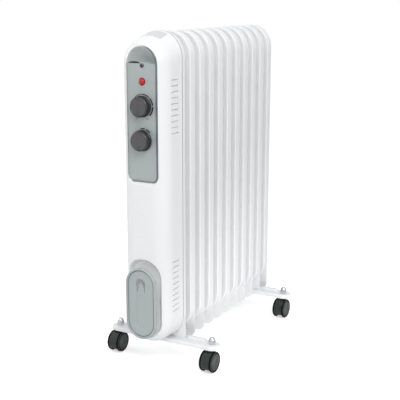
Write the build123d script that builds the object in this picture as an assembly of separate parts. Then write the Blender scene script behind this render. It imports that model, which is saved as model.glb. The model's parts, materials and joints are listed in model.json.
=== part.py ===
"""Oil filled radiator heater on four swivel casters, built from its separate pieces.

The control box faces -Y, the fins stack towards +Y and +Z is up, all in millimetres.
Depths are given from the front lip of the first fin and placed with the function at().
Heights build up from the wheels: foot bars, then fins, then what the control box carries.
"""
import os
from build123d import *

# Clearances
RUN = 0.05
FIT = 0.3
SKIRT_CLEAR = 1.0
SLOT_CLEAR = 0.4

# Casters
WHEEL_RADIUS = 20.6
WHEEL_HALF = 13.1
WHEEL_ROUND = 2.5
TRAIL = 10.7
AXLE_RADIUS = 2.5
HOOD_HALF = 8.5
HOOD_WALL = 2.3
WEB_HALF = 4.0
STUD_RADIUS = 4.0
PIN_RADIUS = 3.5
COLLAR_RADIUS = 5.6
COLLAR_TALL = 5.5
PIN_UP = 2.0
BOSS_WALL = 2.7
HOOD_DROP = 4.0
HUB_SHORT = 3.0
DENT_DEEP = 0.7
AXLE_SHORT = 2.7
NUT_REACH = 3.4
NUT_ROUND = 3.1
DOME_WALL = 1.9
DOME_TALL = 2.6

# Feet
FOOT_CLEAR = 10.8
FOOT_SHEET = 2.0
FOOT_SKIRT = 8.0
FOOT_HALF = 16.5
FOOT_BEHIND = 2.0
STUD_X = 106.0
RIB_HEIGHT = 4.0
LEG_RADIUS = 2.5
LEG_SHIFT = 0.15
LEG_BELOW = 12.0
RIB_INNER = 2.0
RIB_OUTER = 18.0
RIB_FRONT = 1.5
RIB_REAR = 2.5
RIB_CORNER = 5.0
FOOT_ROUND = 1.0
WING_HALF = 10.0
WING_THICK = 1.0
WING_BELOW = 10.0
WING_UNDER = 1.5
WING_CORNER = 3.0
HUB_TALL = 7.0
HUB_WALL = 1.1

# Fins
FIN_COUNT = 11
FIN_PITCH = 37.5
FIN_HALF = 46.5
FIN_DEPTH = 17.5
FIN_RISE = 491.7
SHEET = 1.5
LIP_RADIUS = 2.6
PRESS_INSET = 14.5
PRESS_DEEP = 5.0
PRESS_SLOPE = 3.0
TAB_DROP = 11.0
TAB_LONG = 64.0
TAB_INSET = 0.5
TAB_CORNER = 15.0

# Bushes that join the fins, the heating element and the filler plug
BUSH_RADIUS = 16.0
BORE_RADIUS = 12.0
BUSH_LOW_UP = 25.0
BUSH_TOP_DOWN = 20.7
ELEMENT_RADIUS = 4.0
ELEMENT_GAP = 12.0
HEAD_RADIUS = 19.0
HEAD_THICK = 8.0
HEAD_CLEAR = 2.0
TERMINAL_OUT = 24.0
PLUG_RADIUS = 7.0
PLUG_STAND = 8.0
PLUG_HEX = 11.0
PLUG_BEVEL = 0.8
PLUG_LONG = 5.0

# Control box
BOX_WALL = 1.0
BOX_DEPTH = 68.5
BOX_OVERLAP = 8.5
BOX_ROUND = 30.0
RIM_LONG = 12.5
RIM_STEP = 0.15
RIM_ROUND = 2.5
RIM_WALL = 1.6
CREST_SLOPE = 0.28
PANEL_MARGIN = 15.75
PANEL_TALL = 213.2
PANEL_CORNER = 12.0
PANEL_SUNK = 5.0
PANEL_THICK = 2.0
PANEL_RIM = 1.2
SEAT_WALL = 2.0
SEAT_LEDGE = 1.6
BEVEL_DROP = 7.0
ARCH_UP = 7.18
SCOOP_RISE = 1.5
SCOOP_UNDER = 10.0
SCOOP_DEEP = 22.0
SCOOP_WALL = 1.4
GROOVE_INSET = 9.25
GROOVE_LONG = 28.0
GROOVE_SINK = 17.6
GROOVE_CORNER = 3.0
GROOVE_WALL = 2.0
VENT_DEEP = 2.2
PAD_MARGIN = 2.0
VENT_COUNT = 10
VENT_PITCH = 10.75
VENT_TALL = 2.2
VENT_LONG = 24.5
VENT_BEHIND = 18.5
VENT_UP = 18.5
VENT_DOWN = 37.0
DIMPLE_COUNT = 3
DIMPLE_PITCH = 20.4
DIMPLE_DOWN = 67.0
DIMPLE_RADIUS = 4.9
DIMPLE_DEEP = 0.8

# Controls on the panel, measured down from the centre of its arch
NOTCH_DOWN = 2.2
NOTCH_CLEAR = 0.7
LAMP_DOWN = 30.7
THERMOSTAT_DOWN = 75.1
SELECTOR_DOWN = 137.0
LAMP_RADIUS = 5.0
LAMP_FLANGE = 2.0
FLANGE_THICK = 1.6
CAP_INSET = 0.4
CAP_TALL = 3.6
LENS_TAIL = 4.0
LENS_WALL = 1.4
HOLDER_WALL = 3.0
HOLDER_LONG = 12.0
BULB_GAP = 2.4
BULB_FLAT = 2.8
BLADE_HALF = 0.4
BLADE_LONG = 8.0
NECK_RADIUS = 5.0
SHAFT_RADIUS = 3.0
KNOB_DEEP = 15.0
KNOB_GAP = 1.0
KNOB_BASE_RADIUS = 18.4
KNOB_FACE_RADIUS = 17.0
FLUTE_COUNT = 48
FLUTE_RADIUS = 0.6
FLUTE_OUT = 0.25
FLUTE_LONG = 6.4
FLUTE_STAND = 8.4
KNOB_ROUND = 1.4
KNOB_HOLLOW = 5.0
KNOB_HOLLOW_GAP = 4.6
KNOB_SKIN = 3.5
KEY_WALL = 0.6
NECK_STAND = 3.5
NUT_THICK = 2.5
NUT_GRIP = 2.5
SHAFT_IN = 10.0
SHAFT_END_GAP = 0.1
THERMOSTAT_WIDE = 40.0
THERMOSTAT_TALL = 44.0
THERMOSTAT_DEEP = 22.0
SELECTOR_WIDE = 34.0
SELECTOR_TALL = 36.0
SELECTOR_DEEP = 26.0
BODY_CORNER = 2.0
TERMINAL_HALF = 3.0

# Cord winder
WINDER_MARGIN = 15.8
WINDER_RISE = 74.3
WINDER_STAND = 12.5
WINDER_THICK = 5.0
WINDER_RIM = 3.4
WINDER_DISH = 2.2
TROUGH_HALF = 10.0
TROUGH_DOWN = 7.7
HOOK_RADIUS = 10.5
HOOK_UP = 1.3
POCKET_MARGIN = 3.3
POCKET_ABOVE = 11.3
POCKET_DEEP = 10.0
POCKET_SLOPE = 6.0
POCKET_FLARE = 7.6
POCKET_WALL = 2.0
CORE_HALF = 15.0
CORE_LOW_UP = 9.0
CORE_TOP_DOWN = 31.7
CORE_WALL = 2.5
TROUGH_DEEP = 0.9
TROUGH_ROUND = 0.7
HOOK_SLIT = 0.8
GLAND_EDGE = 1.0
GLAND_RADIUS = 6.0
GLAND_FLANGE = 2.0
GLAND_THICK = 3.0
GLAND_TAIL = 4.0
GLAND_WALL = 2.4
SCREW_RADIUS = 1.5
SCREW_LONG = 14.0
TIP_ROOM = 2.0
SCREW_HEAD_TALL = 2.4
CROSS_DEEP = 1.1
CROSS_HALF = 0.45
BRACKET_INSET = 1.0
COVER_X = 14.0
COVER_UP = 2.0

# Parts inside the box, measured up from the lower bushes
BLOCK_UP = 170.0
BLOCK_HALF = 18.0
BLOCK_DEEP = 16.0
BLOCK_TALL = 20.0
WIRE_PITCH = 12.0
WIRE_RADIUS = 3.0
WIRE_DEEP = 6.0
TILT_UP = 124.0
TILT_HALF = 10.0
TILT_DEEP = 18.0
TILT_TALL = 28.0
TILT_CORNER = 3.0
CUTOUT_UP = 70.0
CUTOUT_RADIUS = 9.0
CUTOUT_LONG = 5.0
CUTOUT_CAP_RADIUS = 7.0
CUTOUT_CAP_LONG = 6.0
EAR_LONG = 12.0
EAR_SHEET = 0.8

# Widths, each from the fins outwards and back in
TAB_HALF = FIN_HALF - TAB_INSET
PRESS_HALF = FIN_HALF - PRESS_INSET
BOX_INNER = FIN_HALF + SKIRT_CLEAR
BOX_HALF = BOX_INNER + BOX_WALL
FRONT_HALF = BOX_HALF - RIM_STEP
PANEL_HALF = BOX_HALF - PANEL_MARGIN
GROOVE_HALF = PANEL_HALF - GROOVE_INSET
WINDER_HALF = BOX_HALF - WINDER_MARGIN
POCKET_HALF = WINDER_HALF + POCKET_MARGIN
POCKET_BED_HALF = POCKET_HALF - POCKET_SLOPE

# Heights, each from the one below
FOOT_Z = 2 * WHEEL_RADIUS + FOOT_CLEAR
FOOT_UNDER = FOOT_Z - FOOT_SHEET
COLLAR_Z = FOOT_UNDER - COLLAR_TALL
TAB_Z = FOOT_Z - TAB_DROP
LOW_Z = TAB_Z + TAB_LONG
TOP_Z = LOW_Z + FIN_RISE
BUSH_LOW_Z = LOW_Z + BUSH_LOW_UP
BUSH_TOP_Z = TOP_Z - BUSH_TOP_DOWN
FRONT_ARCH_Z = TOP_Z - CREST_SLOPE * (BOX_DEPTH - RIM_LONG + RIM_ROUND)
ARCH_Z = FRONT_ARCH_Z + ARCH_UP
PANEL_TOP_Z = ARCH_Z + SCOOP_RISE
SCOOP_JOINT_Z = PANEL_TOP_Z + FIT
SCOOP_BASE_Z = PANEL_TOP_Z - SCOOP_UNDER
PANEL_LOW_Z = ARCH_Z - PANEL_TALL
NOTCH_Z = ARCH_Z - NOTCH_DOWN
LAMP_Z = ARCH_Z - LAMP_DOWN
THERMOSTAT_Z = ARCH_Z - THERMOSTAT_DOWN
SELECTOR_Z = ARCH_Z - SELECTOR_DOWN
GROOVE_FLOOR_Z = ARCH_Z + FRONT_HALF - GROOVE_SINK
CLEAR_Z = TOP_Z + 2 * BOX_HALF
WINDER_LOW_Z = LOW_Z
WINDER_TOP_Z = WINDER_LOW_Z + WINDER_RISE
POCKET_TOP_Z = WINDER_TOP_Z + POCKET_ABOVE
GLAND_Z = WINDER_LOW_Z - POCKET_BED_HALF + GLAND_RADIUS + GLAND_FLANGE + GLAND_EDGE
COVER_Z = GLAND_Z + COVER_UP
CORE_LOW_Z = WINDER_LOW_Z + CORE_LOW_UP
CORE_TOP_Z = WINDER_TOP_Z - CORE_TOP_DOWN
HOOK_Z = WINDER_TOP_Z + HOOK_UP

# Depths from the front lip of the first fin
BOX_REAR = BOX_OVERLAP
BOX_FRONT = BOX_REAR - BOX_DEPTH
RIM_FRONT = BOX_REAR - RIM_LONG
RISE_END = RIM_FRONT + RIM_ROUND
PANEL_FACE = BOX_FRONT + PANEL_SUNK
PANEL_BACK = PANEL_FACE + PANEL_THICK
KNOB_FACE = PANEL_FACE - KNOB_GAP - KNOB_DEEP
GROOVE_REAR = RIM_FRONT + FIT
GROOVE_FRONT = GROOVE_REAR - GROOVE_LONG
VENT_REAR = BOX_REAR - VENT_BEHIND
VENT_FRONT = VENT_REAR - VENT_LONG
POCKET_FLOOR = BOX_FRONT + POCKET_DEEP
POCKET_BACK = POCKET_FLOOR + POCKET_WALL
WINDER_FACE = BOX_FRONT - WINDER_STAND
CORE_FRONT = WINDER_FACE + WINDER_THICK
BRACKET_FRONT = -SHEET
LAST_BACK = (FIN_COUNT - 1) * FIN_PITCH + FIN_DEPTH
REAR_SHIFT = (FIN_COUNT - 2) * FIN_PITCH
FOOT_AT = FIN_DEPTH - FOOT_BEHIND
LEG_AT = (FIN_DEPTH + FOOT_AT + FOOT_HALF - FOOT_SHEET) / 2 + LEG_SHIFT
LEG_X = BUSH_RADIUS + FIT + LEG_RADIUS
HOOD_RADIUS = WHEEL_RADIUS - FIT
HUB_RADIUS = HOOD_RADIUS - HOOD_WALL - 2 * FIT
HUB_START = WEB_HALF + SLOT_CLEAR
RIM_START = HOOD_HALF + SLOT_CLEAR
AXLE_HALF = WHEEL_HALF - AXLE_SHORT

# The whole depth is centred on the origin
LIP_Y = (-WINDER_FACE - LAST_BACK - PLUG_STAND) / 2

parts = {}


def at(depth):
    """Y of a depth measured from the front lip of the first fin."""
    return LIP_Y + depth


def prism(outline, front, rear):
    """An outline drawn in X and Z, run from one depth to another."""
    return extrude(face_plane(rear) * outline, rear - front)


def stadium(half, low_z, top_z):
    """An upright outline with full round ends about two centre heights."""
    slot = SlotCenterToCenter(top_z - low_z, 2 * half, rotation=90)
    return Pos(0, (low_z + top_z) / 2) * slot


def disc(radius, x, z):
    return Pos(x, z) * Circle(radius)


def rod(radius, x, z, front, rear):
    return prism(disc(radius, x, z), front, rear)


def post(radius, x, depth, low_z, top_z):
    """An upright cylinder."""
    tall = top_z - low_z
    return Pos(x, at(depth), (low_z + top_z) / 2) * Cylinder(radius, tall)


def block(x0, x1, front, rear, z0, z1):
    centre = Pos((x0 + x1) / 2, at((front + rear) / 2), (z0 + z1) / 2)
    return centre * Box(x1 - x0, rear - front, z1 - z0)


def front_edges(shape):
    return shape.faces().sort_by(Axis.Y)[0].edges()


def group(shapes):
    """Separate solids kept together as one node."""
    solids = []
    for shape in shapes:
        solids.extend(shape.solids())
    return Compound(children=solids)


def face_plane(depth):
    """A plane across the depth, its X and Y running along X and Z."""
    return Plane(origin=(0, at(depth), 0), x_dir=(1, 0, 0), z_dir=(0, -1, 0))


def taper(front_outline, front, rear_outline, rear):
    """A solid that changes evenly from one outline to another between two depths."""
    return loft([face_plane(front) * front_outline, face_plane(rear) * rear_outline], ruled=True)


def panel_outline(grow, drop=0):
    """The panel opening: round arch above, rounded corners below, which may hang lower."""
    half = PANEL_HALF + grow
    low = PANEL_LOW_Z - grow - drop
    flat = Pos(0, (low + ARCH_Z) / 2) * Rectangle(2 * half, ARCH_Z - low)
    outline = flat + disc(half, 0, ARCH_Z)
    corners = outline.vertices().sort_by(Axis.Y)[:2]
    return fillet(corners, PANEL_CORNER + grow + drop)


def bowl(radius, deep):
    """Half of an ellipsoid about Y, its flat face on the XZ plane and its round back towards +Y."""
    quarter = Ellipse(radius, deep) & Pos(radius / 2, deep / 2) * Rectangle(radius, deep)
    return revolve(quarter, Axis.Y)


def screw(x, z, seat, tip, head_radius, shank_radius):
    """A pan head screw along Y with a cross slot, its head on the side away from the tip."""
    way = 1 if tip > seat else -1
    top = seat - way * SCREW_HEAD_TALL
    head = rod(head_radius, x, z, min(top, seat), max(top, seat))
    outer_edge = head.edges().filter_by(GeomType.CIRCLE).sort_by(Axis.Y)[0 if way > 0 else -1]
    head = fillet(outer_edge, SCREW_HEAD_TALL / 2)
    shank = rod(shank_radius, x, z, min(seat, tip), max(seat, tip))
    cut_in = top + way * CROSS_DEEP
    span = (min(top, cut_in) - 0.1, max(top, cut_in) + 0.1)
    reach = head_radius * 0.62
    cross = block(x - reach, x + reach, span[0], span[1], z - CROSS_HALF, z + CROSS_HALF)
    cross += block(x - CROSS_HALF, x + CROSS_HALF, span[0], span[1], z - reach, z + reach)
    return head + shank - cross


# Fins: two pressed sheets round a hollow for the oil, the front one set back in its middle,
# the back one with a tab below
def fin(front_bores, rear_bores):
    body = prism(stadium(FIN_HALF, LOW_Z, TOP_Z), 0, FIN_DEPTH)
    body = fillet(front_edges(body), LIP_RADIUS)
    foot_half = PRESS_HALF - PRESS_SLOPE
    body -= taper(stadium(PRESS_HALF, LOW_Z, TOP_Z), 0, stadium(foot_half, LOW_Z, TOP_Z), PRESS_DEEP)
    hollow = prism(stadium(FIN_HALF - SHEET, LOW_Z, TOP_Z), SHEET, FIN_DEPTH - SHEET)
    hollow = fillet(front_edges(hollow), LIP_RADIUS - SHEET)
    mouth = stadium(PRESS_HALF + SHEET, LOW_Z, TOP_Z)
    hollow -= taper(mouth, 0, stadium(foot_half + SHEET, LOW_Z, TOP_Z), PRESS_DEEP + SHEET)
    body -= hollow
    tab = Pos(0, (TAB_Z + LOW_Z) / 2) * Rectangle(2 * TAB_HALF, LOW_Z - TAB_Z)
    tab = fillet(tab.vertices().sort_by(Axis.Y)[:2], TAB_CORNER)
    body += prism(tab, FIN_DEPTH - SHEET, FIN_DEPTH)
    for radius, z in front_bores:
        body -= rod(radius, 0, z, PRESS_DEEP - 1, PRESS_DEEP + SHEET + 1)
    for radius, z in rear_bores:
        body -= rod(radius, 0, z, FIN_DEPTH - SHEET - 1, FIN_DEPTH + 1)
    return body


both = [(BORE_RADIUS, BUSH_LOW_Z), (BORE_RADIUS, BUSH_TOP_Z)]
first_fin = fin([(BORE_RADIUS, BUSH_LOW_Z)], both)
middle_fin = fin(both, both)
last_fin = fin(both, [(PLUG_RADIUS + RUN, BUSH_TOP_Z)])
for number in range(FIN_COUNT):
    shape = middle_fin
    if number == 0:
        shape = first_fin
    if number == FIN_COUNT - 1:
        shape = last_fin
    parts[f"fin_{number + 1:02d}"] = Pos(0, number * FIN_PITCH, 0) * shape

bushes = []
for number in range(FIN_COUNT - 1):
    start = number * FIN_PITCH + FIN_DEPTH
    end = (number + 1) * FIN_PITCH + PRESS_DEEP
    for z in (BUSH_LOW_Z, BUSH_TOP_Z):
        bushes.append(rod(BUSH_RADIUS, 0, z, start, end) - rod(BORE_RADIUS, 0, z, start, end))
parts["collector_bushes"] = group(bushes)

# Heating element: a head on the first fin and a long hairpin through the lower bushes
ELEMENT_END = REAR_SHIFT
element = rod(HEAD_RADIUS, 0, BUSH_LOW_Z, PRESS_DEEP - HEAD_THICK, PRESS_DEEP)
for side in (-1, 1):
    leg = side * ELEMENT_GAP / 2
    element += rod(ELEMENT_RADIUS, leg, BUSH_LOW_Z, PRESS_DEEP - HEAD_THICK / 2, ELEMENT_END)
    element += rod(ELEMENT_RADIUS / 2, leg, BUSH_LOW_Z, PRESS_DEEP - TERMINAL_OUT, PRESS_DEEP)
bend = Pos(0, at(ELEMENT_END), BUSH_LOW_Z) * Torus(ELEMENT_GAP / 2, ELEMENT_RADIUS)
element += bend & block(
    -HEAD_RADIUS, HEAD_RADIUS, ELEMENT_END, ELEMENT_END + HEAD_RADIUS,
    BUSH_LOW_Z - HEAD_RADIUS, BUSH_LOW_Z + HEAD_RADIUS
)
parts["heating_element"] = element

# Oil filler plug on the back of the last fin
plug = prism(Pos(0, BUSH_TOP_Z) * RegularPolygon(PLUG_HEX, 6), LAST_BACK, LAST_BACK + PLUG_STAND)
plug = chamfer(plug.faces().sort_by(Axis.Y)[-1].edges(), PLUG_BEVEL)
parts["filler_plug"] = plug + rod(PLUG_RADIUS, 0, BUSH_TOP_Z, LAST_BACK - PLUG_LONG, LAST_BACK)

# Box shell: a rounded front whose arch rises towards the grip, and a rim round the first fin
def arch_outline(half, low_z, top_z):
    """An upright outline, flat below and full round above."""
    return Pos(0, (low_z + top_z) / 2) * Rectangle(2 * half, top_z - low_z) + disc(half, 0, top_z)


SPLIT_Z = (LOW_Z + TOP_Z) / 2
lower = Pos(0, (LOW_Z + SPLIT_Z) / 2) * Rectangle(2 * FRONT_HALF, SPLIT_Z - LOW_Z)
lower += disc(FRONT_HALF, 0, LOW_Z)
upper = arch_outline(FRONT_HALF, SPLIT_Z - BOX_HALF, FRONT_ARCH_Z)
outer = prism(lower, BOX_FRONT, RISE_END)
outer += extrude(face_plane(BOX_FRONT) * upper, RISE_END - BOX_FRONT, dir=(0, 1, CREST_SLOPE))
outer = fillet(front_edges(outer), BOX_ROUND)
rim = prism(stadium(BOX_HALF, LOW_Z, TOP_Z), RIM_FRONT, BOX_REAR)
outer += fillet(front_edges(rim), RIM_ROUND)
inner = prism(stadium(FRONT_HALF - BOX_WALL, LOW_Z, ARCH_Z), BOX_FRONT + BOX_WALL, BOX_REAR + 1)
inner = fillet(front_edges(inner), BOX_ROUND - BOX_WALL)
inner += prism(stadium(BOX_INNER, LOW_Z, TOP_Z), RIM_FRONT + RIM_WALL, BOX_REAR + 1)


# What stands inside the shell: the panel seat, the winder pocket, the grip groove and vent pads
def pocket_shape(grow, rear):
    """The winder pocket with sloping walls, or its tub when grown by a wall."""
    mouth = stadium(POCKET_HALF + POCKET_FLARE + grow, LOW_Z, POCKET_TOP_Z - POCKET_FLARE)
    bed = stadium(POCKET_BED_HALF + grow, LOW_Z, POCKET_TOP_Z)
    return taper(mouth, BOX_FRONT, bed, rear)


seat = prism(panel_outline(FIT + SEAT_WALL, BEVEL_DROP), BOX_FRONT, PANEL_BACK + SEAT_LEDGE)
tub = pocket_shape(POCKET_WALL, POCKET_BACK)
wide = GROOVE_HALF + GROOVE_WALL
grip_wall = block(
    -wide, wide, GROOVE_FRONT - GROOVE_WALL, GROOVE_REAR + RIM_WALL, GROOVE_FLOOR_Z - GROOVE_WALL, CLEAR_Z
)
groove = block(-GROOVE_HALF, GROOVE_HALF, GROOVE_FRONT, GROOVE_REAR, GROOVE_FLOOR_Z, CLEAR_Z)
groove = fillet(groove.edges().filter_by(Axis.Z), GROOVE_CORNER)
groove = fillet(groove.faces().sort_by(Axis.Z)[0].edges(), GROOVE_CORNER / 3)
VENT_ROWS = (LOW_Z + VENT_UP, TOP_Z - VENT_DOWN - (VENT_COUNT - 1) * VENT_PITCH)
VENT_FLOOR = FRONT_HALF - VENT_DEEP
pads = []
for start in VENT_ROWS:
    end = start + (VENT_COUNT - 1) * VENT_PITCH
    for side in (-1, 1):
        x0 = side * (VENT_FLOOR - BOX_WALL)
        x1 = side * BOX_HALF
        low_x = min(x0, x1)
        high_x = max(x0, x1)
        front = VENT_FRONT - PAD_MARGIN
        rear = VENT_REAR + PAD_MARGIN
        pads.append(block(low_x, high_x, front, rear, start - VENT_TALL, end + VENT_TALL))
shell = outer - inner
for inside in [seat, tub, grip_wall] + pads:
    shell += inside & outer
reach = PANEL_SUNK + 1
hang = panel_outline(FIT, BEVEL_DROP * reach / PANEL_SUNK)
shell -= taper(hang, BOX_FRONT - 1, panel_outline(FIT), PANEL_FACE)
shell -= prism(panel_outline(FIT), PANEL_FACE - FIT, PANEL_BACK)
shell -= prism(panel_outline(-SEAT_WALL), PANEL_BACK - 1, PANEL_BACK + SEAT_LEDGE + 1)
room = Pos(0, (SCOOP_BASE_Z - FIT + CLEAR_Z) / 2) * Rectangle(4 * BOX_HALF, CLEAR_Z - SCOOP_BASE_Z + FIT)
shell -= prism(panel_outline(FIT) & room, PANEL_BACK - 1, PANEL_BACK + SEAT_LEDGE + 1)
shell -= pocket_shape(0, POCKET_FLOOR)
shell -= groove
ball_radius = (DIMPLE_RADIUS**2 + DIMPLE_DEEP**2) / (2 * DIMPLE_DEEP)
for number in range(DIMPLE_COUNT):
    z = PANEL_LOW_Z - DIMPLE_DOWN - number * DIMPLE_PITCH
    shell -= Pos(0, at(BOX_FRONT) + DIMPLE_DEEP - ball_radius, z) * Sphere(ball_radius)
vent = SlotOverall(VENT_REAR - VENT_FRONT, VENT_TALL, rotation=90)
vent_y = at((VENT_FRONT + VENT_REAR) / 2)
for start in VENT_ROWS:
    for number in range(VENT_COUNT):
        for side in (-1, 1):
            spot = (side * VENT_FLOOR, vent_y, start + number * VENT_PITCH)
            plane = Plane(origin=spot, x_dir=(0, 0, -1), z_dir=(side, 0, 0))
            shell -= extrude(plane * vent, 2 * VENT_DEEP)
hole = SCREW_RADIUS + FIT
for x in (-COVER_X, COVER_X):
    shell -= rod(hole, x, COVER_Z, POCKET_FLOOR - 1, POCKET_BACK + 1)
for z in (CORE_LOW_Z, CORE_TOP_Z):
    shell -= rod(hole, 0, z, POCKET_FLOOR - 1, POCKET_BACK + 1)
shell -= rod(GLAND_RADIUS + RUN, 0, GLAND_Z, POCKET_FLOOR - 1, POCKET_BACK + 1)
parts["box_shell"] = shell

# Bracket behind the box: a plate on the first fin with posts for the shell and panel screws
bracket = prism(stadium(FIN_HALF - BRACKET_INSET, LOW_Z, TOP_Z), BRACKET_FRONT, 0)
bracket -= rod(HEAD_RADIUS + HEAD_CLEAR, 0, BUSH_LOW_Z, BRACKET_FRONT - 1, 1)
pilot = SCREW_RADIUS + RUN
for x in (-COVER_X, COVER_X):
    bracket += rod(3 * SCREW_RADIUS, x, COVER_Z, POCKET_BACK, BRACKET_FRONT)
    bracket -= rod(pilot, x, COVER_Z, POCKET_BACK - 1, POCKET_BACK + SCREW_LONG + TIP_ROOM)
POST_RADIUS = 2.2 * SCREW_RADIUS
bracket += rod(POST_RADIUS, 0, NOTCH_Z, PANEL_BACK, BRACKET_FRONT)
bracket -= rod(pilot, 0, NOTCH_Z, PANEL_BACK - 1, PANEL_BACK + SCREW_LONG + TIP_ROOM)
parts["box_bracket"] = bracket

cover_screws = []
SCREW_HEAD = 2.4 * SCREW_RADIUS
SEAT = PANEL_FACE + PANEL_THICK * 0.3
for x in (-COVER_X, COVER_X):
    cover_screws.append(screw(x, COVER_Z, POCKET_FLOOR, POCKET_BACK + SCREW_LONG, SCREW_HEAD, SCREW_RADIUS))
cover_screws.append(screw(0, NOTCH_Z, SEAT, PANEL_BACK + SCREW_LONG, SCREW_HEAD, SCREW_RADIUS))
parts["cover_screws"] = group(cover_screws)

# Control panel: a tray whose side walls rise to the shell, with a round notch for its screw
tray_wall = prism(panel_outline(0) - panel_outline(-PANEL_RIM), BOX_FRONT - 1, PANEL_FACE + FIT) & outer
panel = prism(panel_outline(0), PANEL_FACE, PANEL_BACK)
WALL_LOW_Z = PANEL_LOW_Z + PANEL_CORNER
panel += tray_wall & block(-BOX_HALF, BOX_HALF, BOX_FRONT - 2, PANEL_BACK, WALL_LOW_Z, CLEAR_Z)
panel -= block(-BOX_HALF, BOX_HALF, BOX_FRONT - 2, PANEL_BACK + 1, PANEL_TOP_Z, CLEAR_Z)
notch = SCREW_HEAD + NOTCH_CLEAR
panel -= rod(notch, 0, NOTCH_Z, PANEL_FACE - 5, SEAT)
panel -= block(-notch, notch, PANEL_FACE - 5, SEAT, NOTCH_Z, PANEL_TOP_Z + 1)
panel -= rod(hole, 0, NOTCH_Z, PANEL_FACE - 5, PANEL_BACK + 5)
panel -= rod(LAMP_RADIUS + RUN, 0, LAMP_Z, PANEL_FACE - 1, PANEL_BACK + 1)
for z in (THERMOSTAT_Z, SELECTOR_Z):
    panel -= rod(NECK_RADIUS + RUN, 0, z, PANEL_FACE - 1, PANEL_BACK + 1)
parts["control_panel"] = panel

# Finger scoop: a niche above the panel that also reaches down behind it, round the screw post
dome_radius = PANEL_HALF - PANEL_RIM / 3
dome = Pos(0, at(PANEL_FACE), ARCH_Z) * bowl(dome_radius, SCOOP_DEEP + SCOOP_WALL)
niche = Pos(0, at(PANEL_FACE), ARCH_Z) * bowl(dome_radius - SCOOP_WALL, SCOOP_DEEP)
above = block(-BOX_HALF, BOX_HALF, BOX_FRONT - 2, RIM_FRONT, SCOOP_JOINT_Z, CLEAR_Z)
behind = block(-BOX_HALF, BOX_HALF, PANEL_BACK + FIT, RIM_FRONT, SCOOP_BASE_Z, SCOOP_JOINT_Z + 1)
niche &= block(-BOX_HALF, BOX_HALF, BOX_FRONT, RIM_FRONT, SCOOP_BASE_Z + SCOOP_WALL, CLEAR_Z)
scoop = dome - niche
scoop += dome & rod(POST_RADIUS + FIT + SCOOP_WALL, 0, NOTCH_Z, PANEL_BACK, RIM_FRONT)
scoop += tray_wall
scoop = scoop & (above + behind)
parts["grip_scoop"] = scoop - rod(POST_RADIUS + FIT, 0, NOTCH_Z, PANEL_FACE - 1, RIM_FRONT)

# Pilot lamp: red domed lens in front, holder behind the panel
flange = LAMP_RADIUS + LAMP_FLANGE
lens = rod(flange, 0, LAMP_Z, PANEL_FACE - FLANGE_THICK, PANEL_FACE)
cap_radius = flange - CAP_INSET
cap = Pos(0, at(PANEL_FACE - FLANGE_THICK), LAMP_Z) * scale(Sphere(1), (cap_radius, CAP_TALL, cap_radius))
far = 2 * flange
lens += cap & block(-far, far, PANEL_FACE - far, PANEL_FACE - 1, LAMP_Z - far, LAMP_Z + far)
lens += rod(LAMP_RADIUS, 0, LAMP_Z, PANEL_FACE, PANEL_BACK + LENS_TAIL)
lens -= rod(LAMP_RADIUS - LENS_WALL, 0, LAMP_Z, PANEL_FACE - 1, PANEL_BACK + LENS_TAIL + 1)
parts["lamp_lens"] = lens
holder = rod(LAMP_RADIUS + HOLDER_WALL, 0, LAMP_Z, PANEL_BACK, PANEL_BACK + HOLDER_LONG)
holder -= rod(LAMP_RADIUS + RUN, 0, LAMP_Z, PANEL_BACK - 1, PANEL_BACK + LENS_TAIL)
bulb = rod(LAMP_RADIUS - BULB_GAP, 0, LAMP_Z, PANEL_FACE, PANEL_BACK + 1.5 * LENS_TAIL)
holder += fillet(front_edges(bulb), LAMP_RADIUS - BULB_FLAT)
for side in (-1, 1):
    x = side * LAMP_RADIUS * 0.6
    end = PANEL_BACK + HOLDER_LONG
    low_z = LAMP_Z - BULB_GAP
    top_z = LAMP_Z + BULB_GAP
    holder += block(x - BLADE_HALF, x + BLADE_HALF, end, end + BLADE_LONG, low_z, top_z)
parts["lamp_holder"] = holder


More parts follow.
